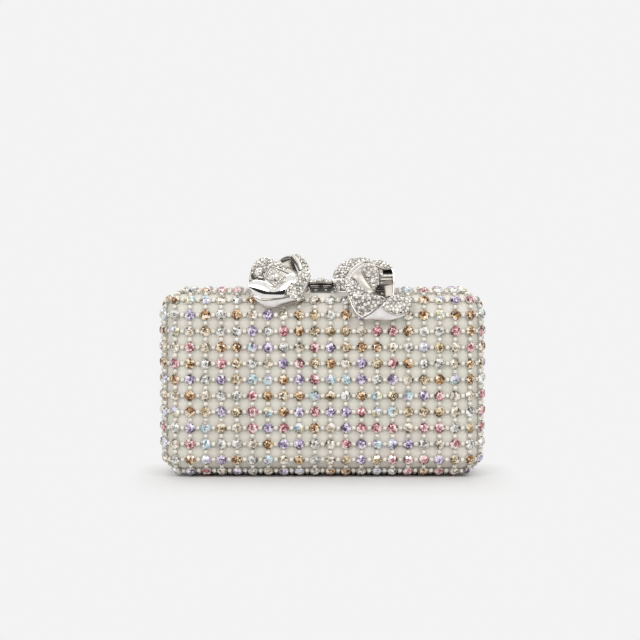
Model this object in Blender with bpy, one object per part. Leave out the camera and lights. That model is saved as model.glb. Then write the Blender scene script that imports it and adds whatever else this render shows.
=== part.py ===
"""Box clutch bag covered in crystals, with a rocking silver bow as its clasp."""

import math

import bmesh
import bpy
from mathutils import Vector

MM = 0.001

# Case, measured over the cover
CASE_WIDTH = 173.4 * MM
CASE_HEIGHT = 97.9 * MM
CASE_DEPTH = 47.0 * MM
EDGE_RADIUS = 12.6 * MM
COVER_THICKNESS = 1.0 * MM
SHELL_THICKNESS = 1.3 * MM
LINING_THICKNESS = 0.6 * MM
SEAT_GAP = 0.3 * MM
PARTING_GAP = 0.3 * MM

# Frame rails along the parting line
RAIL_DEPTH = 1.7 * MM
RAIL_PROUD = 0.6 * MM
RAIL_LIP = 0.4 * MM

# Pocket on the rear lining
POCKET_WIDTH = 112.0 * MM
POCKET_HEIGHT = 52.0 * MM
POCKET_THICKNESS = 0.7 * MM
POCKET_FLOOR = 9.0 * MM

# Crystals and the net that carries them
STONE_RADIUS = 2.75 * MM
STONE_PROUD = 3.1 * MM
STONE_ROOT = 0.6 * MM
STONE_TABLE_RADIUS = 1.5 * MM
COLUMN_PITCH = 8.56 * MM
ROW_PITCH = 8.81 * MM
NET_HEIGHT = 1.4 * MM
FIRST_ROW_RISE = 1.2 * MM
BASE_ROW_INSET = 1.02 * MM
STONE_SPACE = 1.1 * MM
PARTING_MARGIN = 1.45 * MM
STRIP_THICKNESS = 0.5 * MM
STRIP_OVERHANG = 0.4 * MM

# Hinges under the case
HINGE_BARREL_RADIUS = 0.85 * MM
HINGE_PIN_RADIUS = 0.35 * MM
HINGE_PLAY = 0.12 * MM
HINGE_LEAF_CLEARANCE = 1.13 * MM
HINGE_LEAF_THICKNESS = 0.55 * MM
FRONT_KNUCKLE = 7.0 * MM
REAR_KNUCKLE = 4.0 * MM
HINGE_PLACE_SHARES = (-0.62, 0.0, 0.62)

# Barrel, bracket and keeper of the clasp
CLASP_OFFSET = -0.95 * MM
BARREL_LENGTH = 12.3 * MM
BARREL_RADIUS = 2.2 * MM
BARREL_WALL = 0.7 * MM
BOW_PIN_RADIUS = 0.7 * MM
PIN_PLAY = 0.15 * MM
SPRING_WALL = 0.3 * MM
COLLAR_LENGTH = 3.0 * MM
BRACKET_REACH = 8.4 * MM
BRACKET_THICKNESS = 0.6 * MM
BRACKET_WALL = 0.7 * MM
BRACKET_OVERHANG = 0.6 * MM
CRADLE_DROP = 1.1 * MM
RIVET_RADIUS = 0.8 * MM
RIVET_HEAD = 0.5 * MM
HOOK_REACH = 3.4 * MM
HOOK_THICKNESS = 0.6 * MM
HOOK_NOSE = 0.8 * MM
HOOK_NOSE_RISE = 0.45 * MM
HOOK_WIDTH = 2.2 * MM
KEEPER_WIDTH = 1.3 * MM
KEEPER_THICKNESS = 0.8 * MM
KEEPER_FOOT = 3.2 * MM
KEEPER_SIDE_ROOM = 1.2 * MM
CLASP_BARE_SIDE = 1.6 * MM
CLASP_BARE_FRONT = 16.0 * MM

# Bow, drawn in shares of these three sizes from the barrel's middle
BOW_ACROSS = 54.7 * MM
BOW_UP = 54.7 * MM
BOW_OUT = 20.0 * MM
BOW_CLEARANCE = 0.9 * MM
RIBBON_THICKNESS = 1.7 * MM
RIBBON_CROWN = 0.7 * MM
KNOT_RADIUS = 5.2 * MM
SHOULDER_RADIUS = 3.7 * MM
ROOT_THICKNESS = 2.4 * MM

# Counts of faces and the turns that they share
CORNER_STEPS = 5
STONE_SIDES = 5
ROUND_SIDES = 16
PIN_SIDES = 10
RIBBON_STEPS = 9
KNOT_STEPS = 6
KNOT_ARC = math.radians(110.0)
KNUCKLE_STEPS = 10
KNUCKLE_ARC = math.radians(300.0)
LEAF_STEPS = 3
SHARP_ANGLE = math.radians(35.0)
WELD = 0.001 * MM
CUT_OVERRUN = 1.0 * MM

# Places that follow from the sizes
FLAT_HALF = CASE_WIDTH / 2 - EDGE_RADIUS
FLAT_DEPTH = CASE_DEPTH / 2 - EDGE_RADIUS
COVER_BOTTOM = STONE_PROUD
COVER_TOP = COVER_BOTTOM + CASE_HEIGHT
FLAT_LOW = COVER_BOTTOM + EDGE_RADIUS
FLAT_HIGH = COVER_TOP - EDGE_RADIUS
NET_RADIUS = EDGE_RADIUS + NET_HEIGHT
FRONT = -1
REAR = 1
SIDES = (("left", -1), ("right", 1))
RAIL_INNER_EDGE = PARTING_GAP / 2
RAIL_OUTER_EDGE = RAIL_INNER_EDGE + RAIL_DEPTH
SKIN_EDGE = RAIL_OUTER_EDGE + SEAT_GAP
SHELL_OFFSET = COVER_THICKNESS + SEAT_GAP
LINING_OFFSET = SHELL_OFFSET + SHELL_THICKNESS + SEAT_GAP
INNER_OFFSET = LINING_OFFSET + LINING_THICKNESS
BASE_ROW_DEPTH = FLAT_DEPTH - BASE_ROW_INSET
HINGE_LEAF = BASE_ROW_DEPTH - STONE_RADIUS - HINGE_LEAF_CLEARANCE
RAIL_BOTTOM = COVER_BOTTOM - RAIL_PROUD
RAIL_TOP = COVER_TOP + RAIL_PROUD
HINGE_AXIS = Vector((0, 0, RAIL_BOTTOM - SEAT_GAP - HINGE_BARREL_RADIUS))
CLASP_AXIS = Vector((CLASP_OFFSET, 0, RAIL_TOP + SEAT_GAP + BARREL_RADIUS))
BARREL_HALF = BARREL_LENGTH / 2
COLLAR_RADIUS = BARREL_RADIUS
COLLAR_START = BARREL_HALF + SEAT_GAP
COLLAR_END = COLLAR_START + COLLAR_LENGTH
KEEPER_HALF = COLLAR_END + KEEPER_SIDE_ROOM
KEEPER_START = COLLAR_RADIUS + PARTING_MARGIN
KEEPER_FOOT_END = KEEPER_HALF + KEEPER_THICKNESS + KEEPER_FOOT
STONE_REACH = CASE_DEPTH / 2 + STONE_PROUD

# Each ribbon's two edges, in shares across, up and out from the front of the stones
LEFT_RIBBON_SHARES = {
    "outer_loop": (
        ((-0.58, 0.02, -0.30), (-0.70, 0.06, -0.28), (-0.72, 0.17, -0.38), (-0.66, 0.26, -0.58),
         (-0.56, 0.305, -0.73), (-0.46, 0.28, -0.78)),
        ((-0.53, 0.03, -0.10), (-0.54, 0.07, -0.06), (-0.54, 0.12, -0.10), (-0.51, 0.16, -0.23),
         (-0.48, 0.18, -0.33), (-0.43, 0.21, -0.48))),
    "mirror_sweep": (
        ((-0.725, 0.04, -0.16), (-0.58, 0.03, 0.06), (-0.44, 0.01, 0.16), (-0.33, 0.11, -0.03),
         (-0.22, 0.17, -0.33)),
        ((-0.69, -0.03, -0.13), (-0.58, -0.09, 0.14), (-0.42, -0.10, 0.22), (-0.28, -0.04, 0.16),
         (-0.18, 0.06, -0.13))),
    "diamond": (
        ((-0.51, 0.11, 0.10), (-0.47, 0.20, -0.10)),
        ((-0.44, 0.01, 0.22), (-0.32, 0.125, 0.05))),
    "descending_band": (
        ((-0.30, 0.33, -0.73), (-0.22, 0.24, -0.63), (-0.19, 0.16, -0.38), (-0.28, 0.08, -0.03),
         (-0.33, -0.02, 0.14), (-0.34, -0.10, 0.19)),
        ((-0.24, 0.355, -0.98), (-0.13, 0.29, -0.93), (-0.07, 0.18, -0.83), (-0.09, 0.09, -0.48),
         (-0.15, -0.01, -0.08), (-0.19, -0.11, 0.09))),
    "underside": (
        ((-0.65, -0.09, 0.02), (-0.48, -0.11, 0.12), (-0.30, -0.115, 0.17), (-0.20, -0.08, 0.07)),
        ((-0.58, -0.16, 0.12), (-0.48, -0.20, 0.19), (-0.34, -0.16, 0.22), (-0.20, -0.115, 0.12))),
    "inner_fold": (
        ((-0.48, 0.28, -0.78), (-0.38, 0.31, -0.73), (-0.28, 0.34, -0.88)),
        ((-0.45, 0.24, -0.53), (-0.33, 0.20, -0.48), (-0.21, 0.15, -0.43))),
}
RIGHT_RIBBON_SHARES = {
    "arch": (
        ((0.13, 0.09, -0.73), (0.15, 0.19, -0.88), (0.23, 0.27, -0.98), (0.33, 0.31, -0.93),
         (0.45, 0.295, -0.78)),
        ((0.28, 0.08, -0.30), (0.34, 0.12, -0.38), (0.40, 0.16, -0.43), (0.45, 0.21, -0.48),
         (0.50, 0.24, -0.53))),
    "descending_band": (
        ((0.14, 0.09, -0.63), (0.23, 0.03, -0.13), (0.28, -0.08, 0.14), (0.32, -0.20, 0.17),
         (0.38, -0.29, 0.17)),
        ((0.33, 0.09, -0.23), (0.41, -0.02, 0.17), (0.49, -0.11, 0.27), (0.53, -0.19, 0.27),
         (0.54, -0.24, 0.22))),
    "smooth_strip": (
        ((0.32, 0.10, -0.23), (0.40, 0.00, 0.17), (0.48, -0.04, 0.27)),
        ((0.38, 0.12, -0.28), (0.46, 0.05, 0.07), (0.52, -0.02, 0.22))),
    "inner_curl": (
        ((0.45, 0.25, -0.52), (0.56, 0.18, -0.33), (0.58, 0.08, -0.18), (0.54, -0.02, -0.03),
         (0.46, -0.05, 0.15)),
        ((0.39, 0.20, -0.48), (0.48, 0.14, -0.33), (0.50, 0.08, -0.23), (0.48, 0.03, -0.08),
         (0.41, 0.00, 0.13))),
    "outer_loop": (
        ((0.43, 0.30, -0.80), (0.56, 0.29, -0.76), (0.68, 0.25, -0.68), (0.75, 0.16, -0.48),
         (0.755, 0.04, -0.23), (0.72, -0.10, 0.05)),
        ((0.45, 0.26, -0.52), (0.54, 0.20, -0.46), (0.57, 0.17, -0.38), (0.59, 0.11, -0.28),
         (0.59, 0.03, -0.08), (0.57, -0.12, 0.13))),
    "leaf_tail": (
        ((0.60, -0.10, 0.12), (0.70, -0.065, 0.07), (0.82, -0.08, 0.00), (0.89, -0.14, -0.05)),
        ((0.57, -0.22, 0.24), (0.66, -0.27, 0.24), (0.77, -0.26, 0.20), (0.86, -0.20, 0.07))),
    "lower_ribbon": (
        ((0.42, -0.25, 0.22), (0.52, -0.21, 0.27), (0.64, -0.25, 0.29), (0.78, -0.265, 0.22),
         (0.88, -0.18, 0.12)),
        ((0.38, -0.295, 0.14), (0.54, -0.31, 0.20), (0.68, -0.32, 0.22), (0.81, -0.30, 0.17),
         (0.90, -0.19, 0.02))),
}

# Roots of the two bow halves, in shares up and of the stones' reach out
LEFT_ROOT_SHARES = ((0.0, 0.0), (0.10, -0.24), (0.16, -0.60))
RIGHT_ROOT_SHARES = ((0.0, 0.0), (0.07, -0.28), (0.08, -0.64))

# Knot along the barrel, in shares of half its length and of the step from shoulder to knot
KNOT_SHARES = ((-1.0, 0.0), (-0.5, 0.0), (-0.3, 1.0), (0.3, 1.0), (0.5, 0.0), (1.0, 0.0))


def clear_scene():
    """Removes every object, so that the model starts from nothing."""
    for item in list(bpy.data.objects):
        bpy.data.objects.remove(item, do_unlink=True)


def make_empty(name, place, parent=None):
    """Makes an empty at a place of the bag's own frame."""
    empty = bpy.data.objects.new(name, None)
    empty.empty_display_size = RAIL_DEPTH
    bpy.context.collection.objects.link(empty)
    empty.location = place
    if parent is not None:
        empty.parent = parent
        empty.location = place - Vector(parent["place"])
    empty["place"] = tuple(place)
    return empty


def make_material(name, colour, roughness, metallic):
    """Makes the plain material of one piece."""
    material = bpy.data.materials.new(name)
    material.use_nodes = True
    shader = material.node_tree.nodes["Principled BSDF"]
    shader.inputs["Base Color"].default_value = (*colour, 1.0)
    shader.inputs["Roughness"].default_value = roughness
    shader.inputs["Metallic"].default_value = metallic
    material.diffuse_color = (*colour, 1.0)
    return material


FINISHES = {
    "satin": ((0.68, 0.62, 0.54), 0.6, 0.0),
    "board": ((0.35, 0.30, 0.26), 0.7, 0.0),
    "lining": ((0.72, 0.66, 0.58), 0.8, 0.0),
    "nickel": ((0.62, 0.61, 0.60), 0.25, 1.0),
    "rhodium": ((0.80, 0.80, 0.81), 0.12, 1.0),
    "crystal": ((0.75, 0.60, 0.62), 0.08, 0.2),
    "steel": ((0.55, 0.55, 0.57), 0.3, 1.0),
}


def place_object(name, bm, parent, finish, smooth=False):
    """Turns a bmesh in the bag's frame into a named object under its empty."""
    bmesh.ops.remove_doubles(bm, verts=bm.verts, dist=WELD)
    bmesh.ops.recalc_face_normals(bm, faces=bm.faces)
    mesh = bpy.data.meshes.new(name)
    bm.to_mesh(mesh)
    bm.free()
    if smooth:
        mesh.shade_smooth()
        mesh.set_sharp_from_angle(angle=SHARP_ANGLE)
    item = bpy.data.objects.new(name, mesh)
    bpy.context.collection.objects.link(item)
    item.parent = parent
    item.location = -Vector(parent["place"])
    mesh.materials.append(make_material(name, *FINISHES[finish]))
    return item


def make_guide(name, bm, parent):
    """Makes a hidden shape that a Boolean joins to a piece or cuts from it."""
    guide = place_object(name, bm, parent, "steel")
    guide.hide_render = True
    guide.display_type = "WIRE"
    return guide


def combine(item, guide, operation):
    """Joins or cuts a piece with a hidden shape."""
    modifier = item.modifiers.new(guide.name, "BOOLEAN")
    modifier.operation = operation
    modifier.solver = "EXACT"
    modifier.object = guide


def loft(bm, rings, closed=False):
    """Skins a list of rings, then caps the two ends or joins the last to the first."""
    loops = [[bm.verts.new(point) for point in ring] for ring in rings]
    pairs = list(zip(loops, loops[1:]))
    if closed:
        pairs.append((loops[-1], loops[0]))
    for lower, upper in pairs:
        count = len(lower)
        for index in range(count):
            after = (index + 1) % count
            bm.faces.new((lower[index], lower[after], upper[after], upper[index]))
    if not closed:
        bm.faces.new(loops[0])
        bm.faces.new(loops[-1][::-1])


def case_ring(radius, depth, side):
    """Rounded rectangle round the case at one depth from the parting plane."""
    points = []
    corners = ((FLAT_HALF, FLAT_HIGH), (-FLAT_HALF, FLAT_HIGH), (-FLAT_HALF, FLAT_LOW), (FLAT_HALF, FLAT_LOW))
    for quarter, (across, height) in enumerate(corners):
        for step in range(CORNER_STEPS + 1):
            turn = (quarter + step / CORNER_STEPS) * math.pi / 2
            points.append(Vector((across + radius * math.cos(turn), side * depth,
                                  height + radius * math.sin(turn))))
    return points


def surface_rings(offset, edge, side):
    """Rings of one skin surface, from the edge of its flat face to its rim."""
    radius = EDGE_RADIUS - offset
    rings = []
    for step in range(1, CORNER_STEPS + 1):
        turn = step / CORNER_STEPS * math.pi / 2
        rings.append(case_ring(radius * math.sin(turn), FLAT_DEPTH + radius * math.cos(turn), side))
    rings.append(case_ring(radius, edge, side))
    return rings


def half_skin(bm, outer_offset, inner_offset, edge, side):
    """One half of the case as a skin between two offsets from the cover's outside."""
    outer = surface_rings(outer_offset, edge, side)
    inner = surface_rings(inner_offset, edge, side)
    loops = [[bm.verts.new(point) for point in ring] for ring in outer + inner[::-1]]
    for lower, upper in zip(loops, loops[1:]):
        for index in range(len(lower)):
            after = (index + 1) % len(lower)
            bm.faces.new((lower[index], lower[after], upper[after], upper[index]))
    for loop, offset in ((loops[0], outer_offset), (loops[-1], inner_offset)):
        close_flat_face(bm, loop, FLAT_DEPTH + EDGE_RADIUS - offset, side)


def close_flat_face(bm, loop, depth, side):
    """Closes the first arc round a flat face with corner fans, edge strips and the face."""
    corners = [bm.verts.new((across, side * depth, height)) for across, height in (
        (FLAT_HALF, FLAT_HIGH), (-FLAT_HALF, FLAT_HIGH), (-FLAT_HALF, FLAT_LOW), (FLAT_HALF, FLAT_LOW))]
    bm.faces.new(corners)
    span = CORNER_STEPS + 1
    for quarter, corner in enumerate(corners):
        start = quarter * span
        for step in range(CORNER_STEPS):
            bm.faces.new((corner, loop[start + step], loop[start + step + 1]))
        following = corners[(quarter + 1) % len(corners)]
        last = loop[start + CORNER_STEPS]
        first = loop[(start + span) % len(loop)]
        bm.faces.new((corner, last, first, following))


def make_skin(name, parent, side, offsets, finish):
    """Cover, shell or lining of one half."""
    bm = bmesh.new()
    half_skin(bm, offsets[0], offsets[1], SKIN_EDGE, side)
    return place_object(name, bm, parent, finish, smooth=True)


def make_rail(name, parent, side):
    """Metal rail round the mouth of one half, over the edges of cover, shell and lining."""
    outer = EDGE_RADIUS + RAIL_PROUD
    inner = EDGE_RADIUS - INNER_OFFSET - RAIL_LIP
    corners = ((outer, RAIL_INNER_EDGE), (outer, RAIL_OUTER_EDGE), (inner, RAIL_OUTER_EDGE),
               (inner, RAIL_INNER_EDGE))
    bm = bmesh.new()
    loft(bm, [case_ring(radius, depth, side) for radius, depth in corners], closed=True)
    place_object(name, bm, parent, "nickel", smooth=True)


def add_box(bm, low, high):
    """Adds a box between two corners."""
    bottom = [Vector((x, y, low[2])) for x, y in (
        (low[0], low[1]), (high[0], low[1]), (high[0], high[1]), (low[0], high[1]))]
    top = [Vector((point.x, point.y, high[2])) for point in bottom]
    loft(bm, [bottom, top])


def make_pocket(parent):
    """Flat slip pocket sewn to the rear lining."""
    back = CASE_DEPTH / 2 - INNER_OFFSET - SEAT_GAP
    floor = COVER_BOTTOM + INNER_OFFSET + POCKET_FLOOR
    bm = bmesh.new()
    add_box(bm, (-POCKET_WIDTH / 2, back - POCKET_THICKNESS, floor),
            (POCKET_WIDTH / 2, back, floor + POCKET_HEIGHT))
    place_object("lining_pocket", bm, parent, "lining")


def net_rows():
    """Rows of the net as (height on the flat, up or down, turn over the edge, run past the turn)."""
    quarter = NET_RADIUS * math.pi / 2
    rows = []
    first = FLAT_HIGH + FIRST_ROW_RISE
    count_up = int((quarter + FLAT_DEPTH - FIRST_ROW_RISE) / ROW_PITCH)
    count_down = int((first - FLAT_LOW + quarter + FLAT_DEPTH) / ROW_PITCH)
    for index in range(-count_up, count_down + 1):
        height = first - index * ROW_PITCH
        beyond = max(height - FLAT_HIGH, FLAT_LOW - height, 0)
        way = 1 if height > (FLAT_HIGH + FLAT_LOW) / 2 else -1
        on_flat = min(max(height, FLAT_LOW), FLAT_HIGH)
        turn = min(beyond, quarter) / NET_RADIUS
        rows.append((on_flat, way, turn, max(beyond - quarter, 0)))
    return sorted(rows, key=lambda row: row[3])


def column_distances():
    """Distances of the columns from the middle, along the net."""
    reach = FLAT_HALF + NET_RADIUS * math.pi / 2 + FLAT_DEPTH
    return [(index + 0.5) * COLUMN_PITCH for index in range(int(reach / COLUMN_PITCH + 0.5))]


def net_place(row, distance):
    """Core point and outward direction of one stone on the right half of the front."""
    height, way, turn, past = row
    across = min(distance, FLAT_HALF)
    beyond = distance - across
    if past > 0:
        roll = min(beyond / NET_RADIUS, math.pi / 2)
        core = Vector((across, -FLAT_DEPTH + past, height))
        return core, Vector((math.sin(roll), 0, way * math.cos(roll)))
    ring = NET_RADIUS * math.cos(turn)
    yaw = min(beyond / ring, math.pi / 2)
    run = max(beyond - ring * math.pi / 2, 0)
    core = Vector((across, -FLAT_DEPTH + run, height))
    normal = Vector((math.cos(turn) * math.sin(yaw), -math.cos(turn) * math.cos(yaw), way * math.sin(turn)))
    return core, normal


def is_clear(point, kept):
    """Whether a stone keeps its distance from the parting plane and from its neighbours."""
    if -point.y < STONE_RADIUS + PARTING_MARGIN:
        return False
    room = 2 * STONE_RADIUS + STONE_SPACE
    return all((point - other).length > room for other in kept)


def stone_places():
    """Every stone of the front half: foot on the cover, direction, and whether it stands on the base."""
    base_row = (FLAT_LOW, -1, math.pi / 2, BASE_ROW_INSET)
    columns = column_distances()
    places = [(base_row, distance, True) for distance in columns if distance <= FLAT_HALF]
    places += [(row, distance, False) for row in net_rows() for distance in columns
               if not under_case(row, distance)]
    kept = []
    stones = []
    for row, distance, base in places:
        core, normal = net_place(row, distance)
        point = core + normal * NET_RADIUS
        if not is_clear(point, kept):
            continue
        kept.append(point)
        foot = core + normal * EDGE_RADIUS
        for mirror in (1, -1):
            stones.append((Vector((mirror * foot.x, foot.y, foot.z)),
                           Vector((mirror * normal.x, normal.y, normal.z)), base))
    return stones


def under_case(row, distance):
    """Whether a place lies on the flat underside, which is left to the base row and the hinges."""
    return row[1] < 0 < row[3] and distance <= FLAT_HALF


def under_clasp(foot, side):
    """Whether the bracket, the keeper or the bow's roots take this stone's place."""
    room = KEEPER_FOOT_END + CLASP_BARE_SIDE
    if foot.z < FLAT_HIGH or abs(foot.x - CLASP_OFFSET) > room:
        return False
    reach = CLASP_BARE_FRONT if side == FRONT else KEEPER_START + KEEPER_WIDTH + STONE_RADIUS
    return abs(foot.y) < reach


def add_stone(bm, foot, normal):
    """Adds one stone as a low cone rooted in the cover."""
    first = normal.orthogonal().normalized()
    second = normal.cross(first)
    root = foot - normal * STONE_ROOT
    radius = STONE_RADIUS * (STONE_PROUD + STONE_ROOT) / STONE_PROUD
    rim = []
    for step in range(STONE_SIDES):
        turn = step / STONE_SIDES * math.tau
        rim.append(bm.verts.new(root + (first * math.cos(turn) + second * math.sin(turn)) * radius))
    tip = bm.verts.new(foot + normal * STONE_PROUD)
    for index, vertex in enumerate(rim):
        bm.faces.new((vertex, rim[(index + 1) % STONE_SIDES], tip))
    bm.faces.new(rim[::-1])


def set_crystals(prefix, cover, parent, side):
    """Sets the stones of one half in its cover, and makes the base row on its own strip."""
    bm = bmesh.new()
    base_feet = []
    for foot, normal, base in stone_places():
        foot = Vector((foot.x, -side * foot.y, foot.z))
        normal = Vector((normal.x, -side * normal.y, normal.z))
        if base:
            base_feet.append(foot)
        elif not under_clasp(foot, side):
            add_stone(bm, foot, normal)
    combine(cover, make_guide(prefix + "_stones", bm, parent), "UNION")
    make_base_row(prefix, parent, base_feet)


def make_base_row(prefix, parent, feet):
    """The row of flat-topped stones that the bag stands on, fused to one strip."""
    ends = max(foot.x for foot in feet) + STONE_RADIUS + STRIP_OVERHANG
    middle = feet[0].y
    top = COVER_BOTTOM - SEAT_GAP
    half_strip = STONE_TABLE_RADIUS
    bm = bmesh.new()
    add_box(bm, (-ends, middle - half_strip, top - STRIP_THICKNESS), (ends, middle + half_strip, top))
    strip = place_object(prefix + "_base_crystals", bm, parent, "crystal")
    bm = bmesh.new()
    for foot in feet:
        rings = []
        for height, radius in ((top - STRIP_THICKNESS / 2, STONE_RADIUS), (0, STONE_TABLE_RADIUS)):
            rings.append([Vector((foot.x + radius * math.cos(turn), middle + radius * math.sin(turn), height))
                          for turn in (step / STONE_SIDES * math.tau for step in range(STONE_SIDES))])
        loft(bm, rings)
    combine(strip, make_guide(prefix + "_base_cones", bm, parent), "UNION")


def circle_x(across, radius, centre, sides, start=0.0):
    """Circle in a plane square to the X axis."""
    return [Vector((across, centre.y + radius * math.cos(start + step / sides * math.tau),
                    centre.z + radius * math.sin(start + step / sides * math.tau))) for step in range(sides)]


def add_tube(bm, span, radii, centre, sides):
    """Adds a tube along X with an outer and an inner radius."""
    outer, inner = radii
    loft(bm, [circle_x(span[0], outer, centre, sides), circle_x(span[1], outer, centre, sides),
              circle_x(span[1], inner, centre, sides), circle_x(span[0], inner, centre, sides)], closed=True)


def add_rod(bm, span, radius, centre, sides):
    """Adds a solid rod along X."""
    loft(bm, [circle_x(span[0], radius, centre, sides), circle_x(span[1], radius, centre, sides)])


def knuckle_outlines(side):
    """Outer and inner outline of a hinge knuckle with its leaf, round the hinge axis."""
    turns = [math.pi / 2 - step / KNUCKLE_STEPS * KNUCKLE_ARC for step in range(KNUCKLE_STEPS + 1)]
    leaf_turn = (math.tau - KNUCKLE_ARC) / LEAF_STEPS
    outer = [knuckle_point(turn, HINGE_BARREL_RADIUS, side) for turn in turns]
    outer.append((side * HINGE_LEAF, HINGE_BARREL_RADIUS - HINGE_LEAF_THICKNESS))
    outer.append((side * HINGE_LEAF, HINGE_BARREL_RADIUS))
    turns += [turns[-1] - leaf_turn * step for step in range(1, LEAF_STEPS)]
    inner = [knuckle_point(turn, HINGE_PIN_RADIUS + HINGE_PLAY, side) for turn in turns]
    return outer, inner


def knuckle_point(turn, radius, side):
    """Point on a circle round the hinge axis, turning away from the leaf."""
    return -side * math.cos(turn) * radius, math.sin(turn) * radius


def add_knuckle(bm, span, side):
    """Adds one hinge knuckle with its leaf under the rail and the cover."""
    outer, inner = knuckle_outlines(side)
    rings = []
    for across, outline in ((span[0], outer), (span[1], outer), (span[1], inner), (span[0], inner)):
        rings.append([Vector((across, HINGE_AXIS.y + y, HINGE_AXIS.z + z)) for y, z in outline])
    loft(bm, rings, closed=True)


def make_knuckle(name, parent, span, side):
    """One hinge knuckle as its own piece."""
    bm = bmesh.new()
    add_knuckle(bm, span, side)
    place_object(name, bm, parent, "nickel", smooth=True)


def make_hinges(front, root):
    """Three small butt hinges under the case: one front knuckle, two rear knuckles and a pin each."""
    for number, share in enumerate(HINGE_PLACE_SHARES, 1):
        middle = share * FLAT_HALF
        inner_end = FRONT_KNUCKLE / 2 + SEAT_GAP
        outer_end = inner_end + REAR_KNUCKLE
        front_span = (middle - FRONT_KNUCKLE / 2, middle + FRONT_KNUCKLE / 2)
        make_knuckle(f"front_knuckle_{number}", front, front_span, FRONT)
        make_knuckle(f"rear_knuckle_{number}_left", root, (middle - outer_end, middle - inner_end), REAR)
        make_knuckle(f"rear_knuckle_{number}_right", root, (middle + inner_end, middle + outer_end), REAR)
        bm = bmesh.new()
        add_rod(bm, (middle - outer_end, middle + outer_end), HINGE_PIN_RADIUS, HINGE_AXIS, PIN_SIDES)
        place_object(f"hinge_pin_{number}", bm, root, "steel", smooth=True)


def extrude_outline(bm, outline, low, high, axis):
    """Adds a prism: an outline in the plane square to X or Y, between two places on that axis."""
    if axis == "X":
        rings = [[Vector((place, first, second)) for first, second in outline] for place in (low, high)]
    else:
        rings = [[Vector((first, place, second)) for first, second in outline] for place in (low, high)]
    loft(bm, rings)


def make_rivet(name, parent, across, depth, seat):
    """One low rivet head above its seat."""
    low = seat + SEAT_GAP
    rings = []
    for height, radius in ((low, RIVET_RADIUS), (low + RIVET_HEAD / 2, RIVET_RADIUS),
                           (low + RIVET_HEAD, RIVET_RADIUS / 2)):
        rings.append([Vector((across + radius * math.cos(turn), depth + radius * math.sin(turn), height))
                      for turn in (step / PIN_SIDES * math.tau for step in range(PIN_SIDES))])
    bm = bmesh.new()
    loft(bm, rings)
    place_object(name, bm, parent, "nickel", smooth=True)


def make_clasp_seat(front):
    """Bracket, barrel, spring and rivets on the front half's top."""
    low = COVER_TOP + SEAT_GAP
    back = -SKIN_EDGE
    ahead = back - BRACKET_REACH
    cradle_back = -(BARREL_RADIUS + SEAT_GAP / 2)
    cradle_front = cradle_back - BRACKET_WALL
    top = CLASP_AXIS.z - CRADLE_DROP
    outline = ((ahead, low), (back, low), (back, low + BRACKET_THICKNESS / 2),
               (cradle_back, low + BRACKET_THICKNESS), (cradle_back, top), (cradle_front, top),
               (cradle_front, low + BRACKET_THICKNESS), (ahead, low + BRACKET_THICKNESS))
    half = BARREL_HALF - BRACKET_OVERHANG
    bm = bmesh.new()
    extrude_outline(bm, outline, CLASP_AXIS.x - half, CLASP_AXIS.x + half, "X")
    place_object("clasp_bracket", bm, front, "rhodium")
    for label, way in SIDES:
        make_rivet("bracket_rivet_" + label, front, CLASP_AXIS.x + way * half / 2, (ahead + cradle_front) / 2,
                   low + BRACKET_THICKNESS)
    span = (CLASP_AXIS.x - BARREL_HALF, CLASP_AXIS.x + BARREL_HALF)
    bore = BARREL_RADIUS - BARREL_WALL
    bm = bmesh.new()
    add_tube(bm, span, (BARREL_RADIUS, bore), CLASP_AXIS, ROUND_SIDES)
    place_object("clasp_barrel", bm, front, "rhodium", smooth=True)
    bm = bmesh.new()
    inner = BOW_PIN_RADIUS + PIN_PLAY
    add_tube(bm, span, (inner + SPRING_WALL, inner), CLASP_AXIS, PIN_SIDES)
    place_object("clasp_spring", bm, front, "steel", smooth=True)


def make_keeper(root):
    """Bridge on the rear half's top that the bow's hooks reach under, with its rivets."""
    low = COVER_TOP + SEAT_GAP
    under = CLASP_AXIS.z + SEAT_GAP
    top = under + KEEPER_THICKNESS
    leg = KEEPER_HALF + KEEPER_THICKNESS
    right = ((KEEPER_FOOT_END, low), (KEEPER_FOOT_END, low + KEEPER_THICKNESS),
             (leg, low + KEEPER_THICKNESS), (leg, top))
    inner = ((-KEEPER_HALF, low), (-KEEPER_HALF, under), (KEEPER_HALF, under), (KEEPER_HALF, low))
    outline = list(right) + [(-x, z) for x, z in right[::-1]] + list(inner)
    outline = [(CLASP_AXIS.x + x, z) for x, z in outline]
    bm = bmesh.new()
    extrude_outline(bm, outline, KEEPER_START, KEEPER_START + KEEPER_WIDTH, "Y")
    place_object("catch_keeper", bm, root, "nickel")
    for label, way in SIDES:
        make_rivet("keeper_rivet_" + label, root, CLASP_AXIS.x + way * (leg + KEEPER_FOOT / 2),
                   KEEPER_START + KEEPER_WIDTH / 2, low + KEEPER_THICKNESS)


def stone_envelope(height):
    """How far the front stones reach from the parting plane at one height, with clearance."""
    radius = EDGE_RADIUS + STONE_PROUD + BOW_CLEARANCE + RIBBON_THICKNESS / 2
    above = max(height - FLAT_HIGH, 0)
    return FLAT_DEPTH + math.sqrt(max(radius ** 2 - above ** 2, 0))


def bow_point(across, up, out):
    """Place of a bow point given as shares, kept clear of the front stones."""
    height = CLASP_AXIS.z + up * BOW_UP
    reach = max(STONE_REACH + out * BOW_OUT, 0)
    if height < COVER_TOP + STONE_PROUD + BOW_CLEARANCE:
        reach = max(reach, stone_envelope(height))
    return Vector((CLASP_AXIS.x + across * BOW_ACROSS, -reach, height))


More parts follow.
